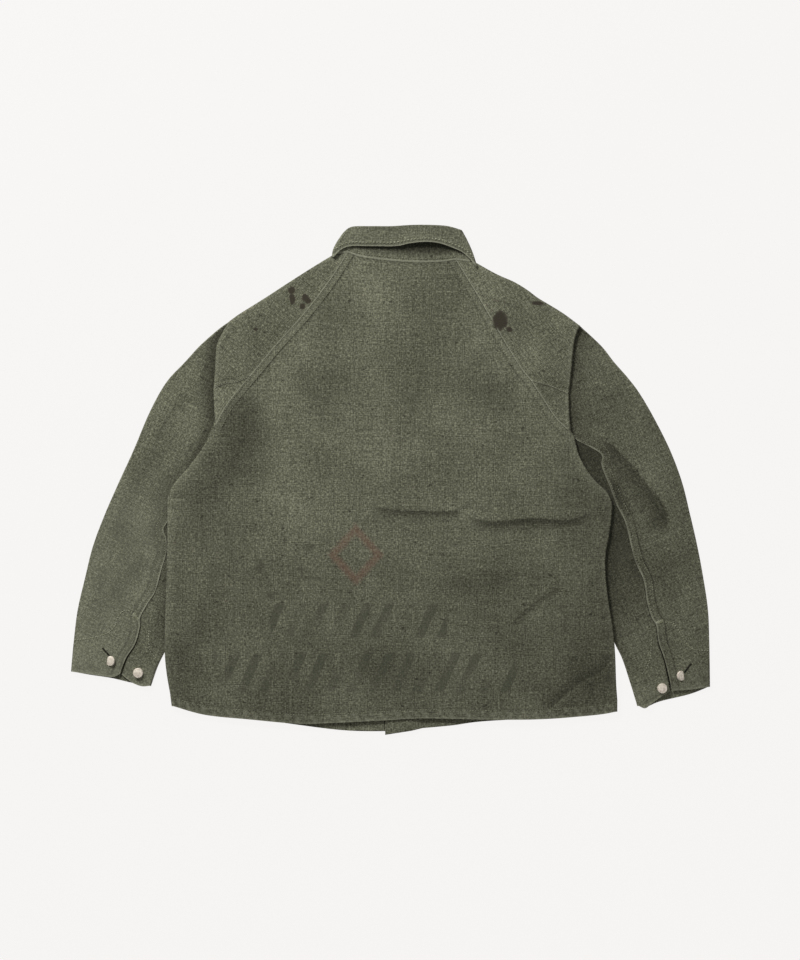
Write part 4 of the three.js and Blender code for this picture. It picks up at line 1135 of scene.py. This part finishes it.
TACKS = {"left": ([-386, -202], [-378, -209]), "right": ([399, -214], [408, -211])}
for side in SIDES:
    outwards = -1 if side == "left" else 1
    shown = spline(BACK_SEAM[side], 160)[20:]
    closed = shown[shown[:, 1] > VENT_TOP[side]]
    pairs = []
    for distance in (3, FELL_WIDTH - 2):
        pairs += stitches(beside(closed, outwards * distance))
    sleeve_nodes = ["top_sleeve_" + side, "under_sleeve_" + side]
    sewn("sleeve_stitching_" + side, pairs, sleeve_nodes, dyed)
    pairs = bars(*TACKS[side], 5, 9)
    for line in CUFF_LINES[side]:
        pairs += stitches(spline(line, 40))
    sewn("cuff_stitching_" + side, pairs, sleeve_nodes, faded)
    # Near-black bars: painted shadow in the buttonhole slit.
    sewn("buttonhole_" + side, bars(*BUTTONHOLES[side], 2.8, 18), sleeve_nodes, slit_shadow)
neck_row = spline(STAND_NECK[1:-1], 60) + np.array([0, 4.5])
topstitched = beside(edge_line, TOPSTITCH)[4:-4]
sewn("collar_topstitching", stitches(topstitched, 5.2, 2.8), ["collar_back"], faded, TOPSTITCH_RADIUS)
sewn("neck_stitching", stitches(neck_row), ["collar_back"], dyed)

# Buttons: stamped nickel-plated caps, 15 mm across, two at each cuff. One goes through a buttonhole and
# tilts; the other stands bare on the underlap side. Each is riveted through the cloth.
BUTTON_RADIUS = 7.5
BUTTON_HEIGHT = 4
BUTTONS = {"left": [(-419, -271, 0.4), (-378, -289, 0)], "right": [(435, -293, -0.4), (407, -312, 0)]}
CAP_PROFILE = [(0, 0), (0.84, 0), (0.95, 0.08), (1, 0.22), (1, 0.5), (0.98, 0.68), (0.94, 0.82), (0.88, 0.9),
               (0.84, 0.9), (0.8, 0.88), (0.74, 0.91), (0.5, 0.96), (0.25, 0.99), (0, 1)]
ROUND = 40

# Worn nickel plate: pale and warm, rubbed almost matt, with small brighter spots.
nickel, tree = blank_material("worn_nickel_plate")
spot = add(tree, "NewGeometry").outputs["Position"]
tarnish = noise(tree, spot, 3 * MM, 4)
shade = ramp(tree, tarnish, [(0.3, "#d2c9bc"), (0.65, "#f4ede1")])
rub = add(tree, "MapRange", {"Value": tarnish, "To Min": 0.85, "To Max": 0.7}).outputs["Result"]
finished(tree, {"Base Color": shade, "Roughness": rub, "Metallic": 1})

angles = np.linspace(0, math.tau, ROUND, endpoint=False)
rims = [np.column_stack([radius * np.cos(angles), radius * np.sin(angles), np.full(ROUND, height)])
        for radius, height in np.array(CAP_PROFILE[1:-1]) * [BUTTON_RADIUS, BUTTON_HEIGHT]]
cap = np.vstack([[(0, 0, 0)], *rims, [(0, 0, BUTTON_HEIGHT)]])
last_rim = len(cap) - 1 - ROUND
pairs = [(k, (k + 1) % ROUND) for k in range(ROUND)]
faces = [[0, 1 + after, 1 + k] for k, after in pairs]
for base in range(1, last_rim, ROUND):
    faces += [[base + k, base + after, base + ROUND + after, base + ROUND + k] for k, after in pairs]
faces += [[last_rim + k, last_rim + after, len(cap) - 1] for k, after in pairs]
for side in SIDES:
    for number, (x, y, tilt) in enumerate(BUTTONS[side], 1):
        node = f"button_{side}_{number}"
        cosine, sine = math.cos(tilt), math.sin(tilt)
        points = cap @ np.array([[cosine, 0, -sine], [0, 1, 0], [sine, 0, cosine]]).T
        points += np.array([x, y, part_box(node)[1][2] / MM - points[:, 2].max()])
        piece = mesh_piece(node + "_cap", points, faces, nickel, 180)
        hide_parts(node)

# Studio: a plain pale floor that is nearly white, a soft window-like lamp from the upper left with a weak one
# opposite, and a camera straight above the middle of the jacket.
CAMERA_HEIGHT = 4.0
VIEW_LONG_SIDE = 1.44
SENSOR = 36
FLOOR_LEVEL = -0.5 * MM
PAPER = "#f8f6f5"

# Matt white paper: an even pale ground with no shine, lit from within so that shadows stay faint.
paper, tree = blank_material("matt_white_paper")
spot = add(tree, "NewGeometry").outputs["Position"]
shade = ramp(tree, noise(tree, spot, 300 * MM), [(0, "#2a2a29"), (1, "#2c2c2b")])
finished(tree, {"Base Color": shade, "Roughness": 0.95, "Specular IOR Level": 0,
                "Emission Color": linear(PAPER), "Emission Strength": 0.965})
mesh = bpy.data.meshes.new("floor")
corners = [(x, y, FLOOR_LEVEL) for x, y in ((-4, -4), (4, -4), (4, 4), (-4, 4))]
mesh.from_pydata(corners, [], [[0, 1, 2, 3]])
mesh.materials.append(paper)
floor = bpy.data.objects.new("floor", mesh)
bpy.context.scene.collection.objects.link(floor)

world = bpy.data.worlds.new("studio_fill")
world.use_nodes = True
world.node_tree.nodes["Background"].inputs["Color"].default_value = linear("#f4f4f6")
world.node_tree.nodes["Background"].inputs["Strength"].default_value = 0.25
bpy.context.scene.world = world
LAMPS = [("window", (-1.6, 2.4, 1.8), 1.0, 140), ("bounce", (2.4, -1.2, 2.6), 2.0, 22)]
for name, place, size, power in LAMPS:
    lamp = bpy.data.lights.new(name, "AREA")
    lamp.shape = "DISK"
    lamp.size = size
    lamp.energy = power
    lamp_object = bpy.data.objects.new(name, lamp)
    lamp_object.location = place
    lamp_object.rotation_euler = (-Vector(place)).to_track_quat("-Z", "Y").to_euler()
    bpy.context.scene.collection.objects.link(lamp_object)

camera = bpy.data.cameras.new("camera")
camera.sensor_width = SENSOR
camera.lens = SENSOR * CAMERA_HEIGHT / VIEW_LONG_SIDE
camera_object = bpy.data.objects.new("camera", camera)
camera_object.location = (14.25 * MM, 0, CAMERA_HEIGHT)
bpy.context.scene.collection.objects.link(camera_object)
bpy.context.scene.camera = camera_object
bpy.context.scene.view_settings.view_transform = "Standard"
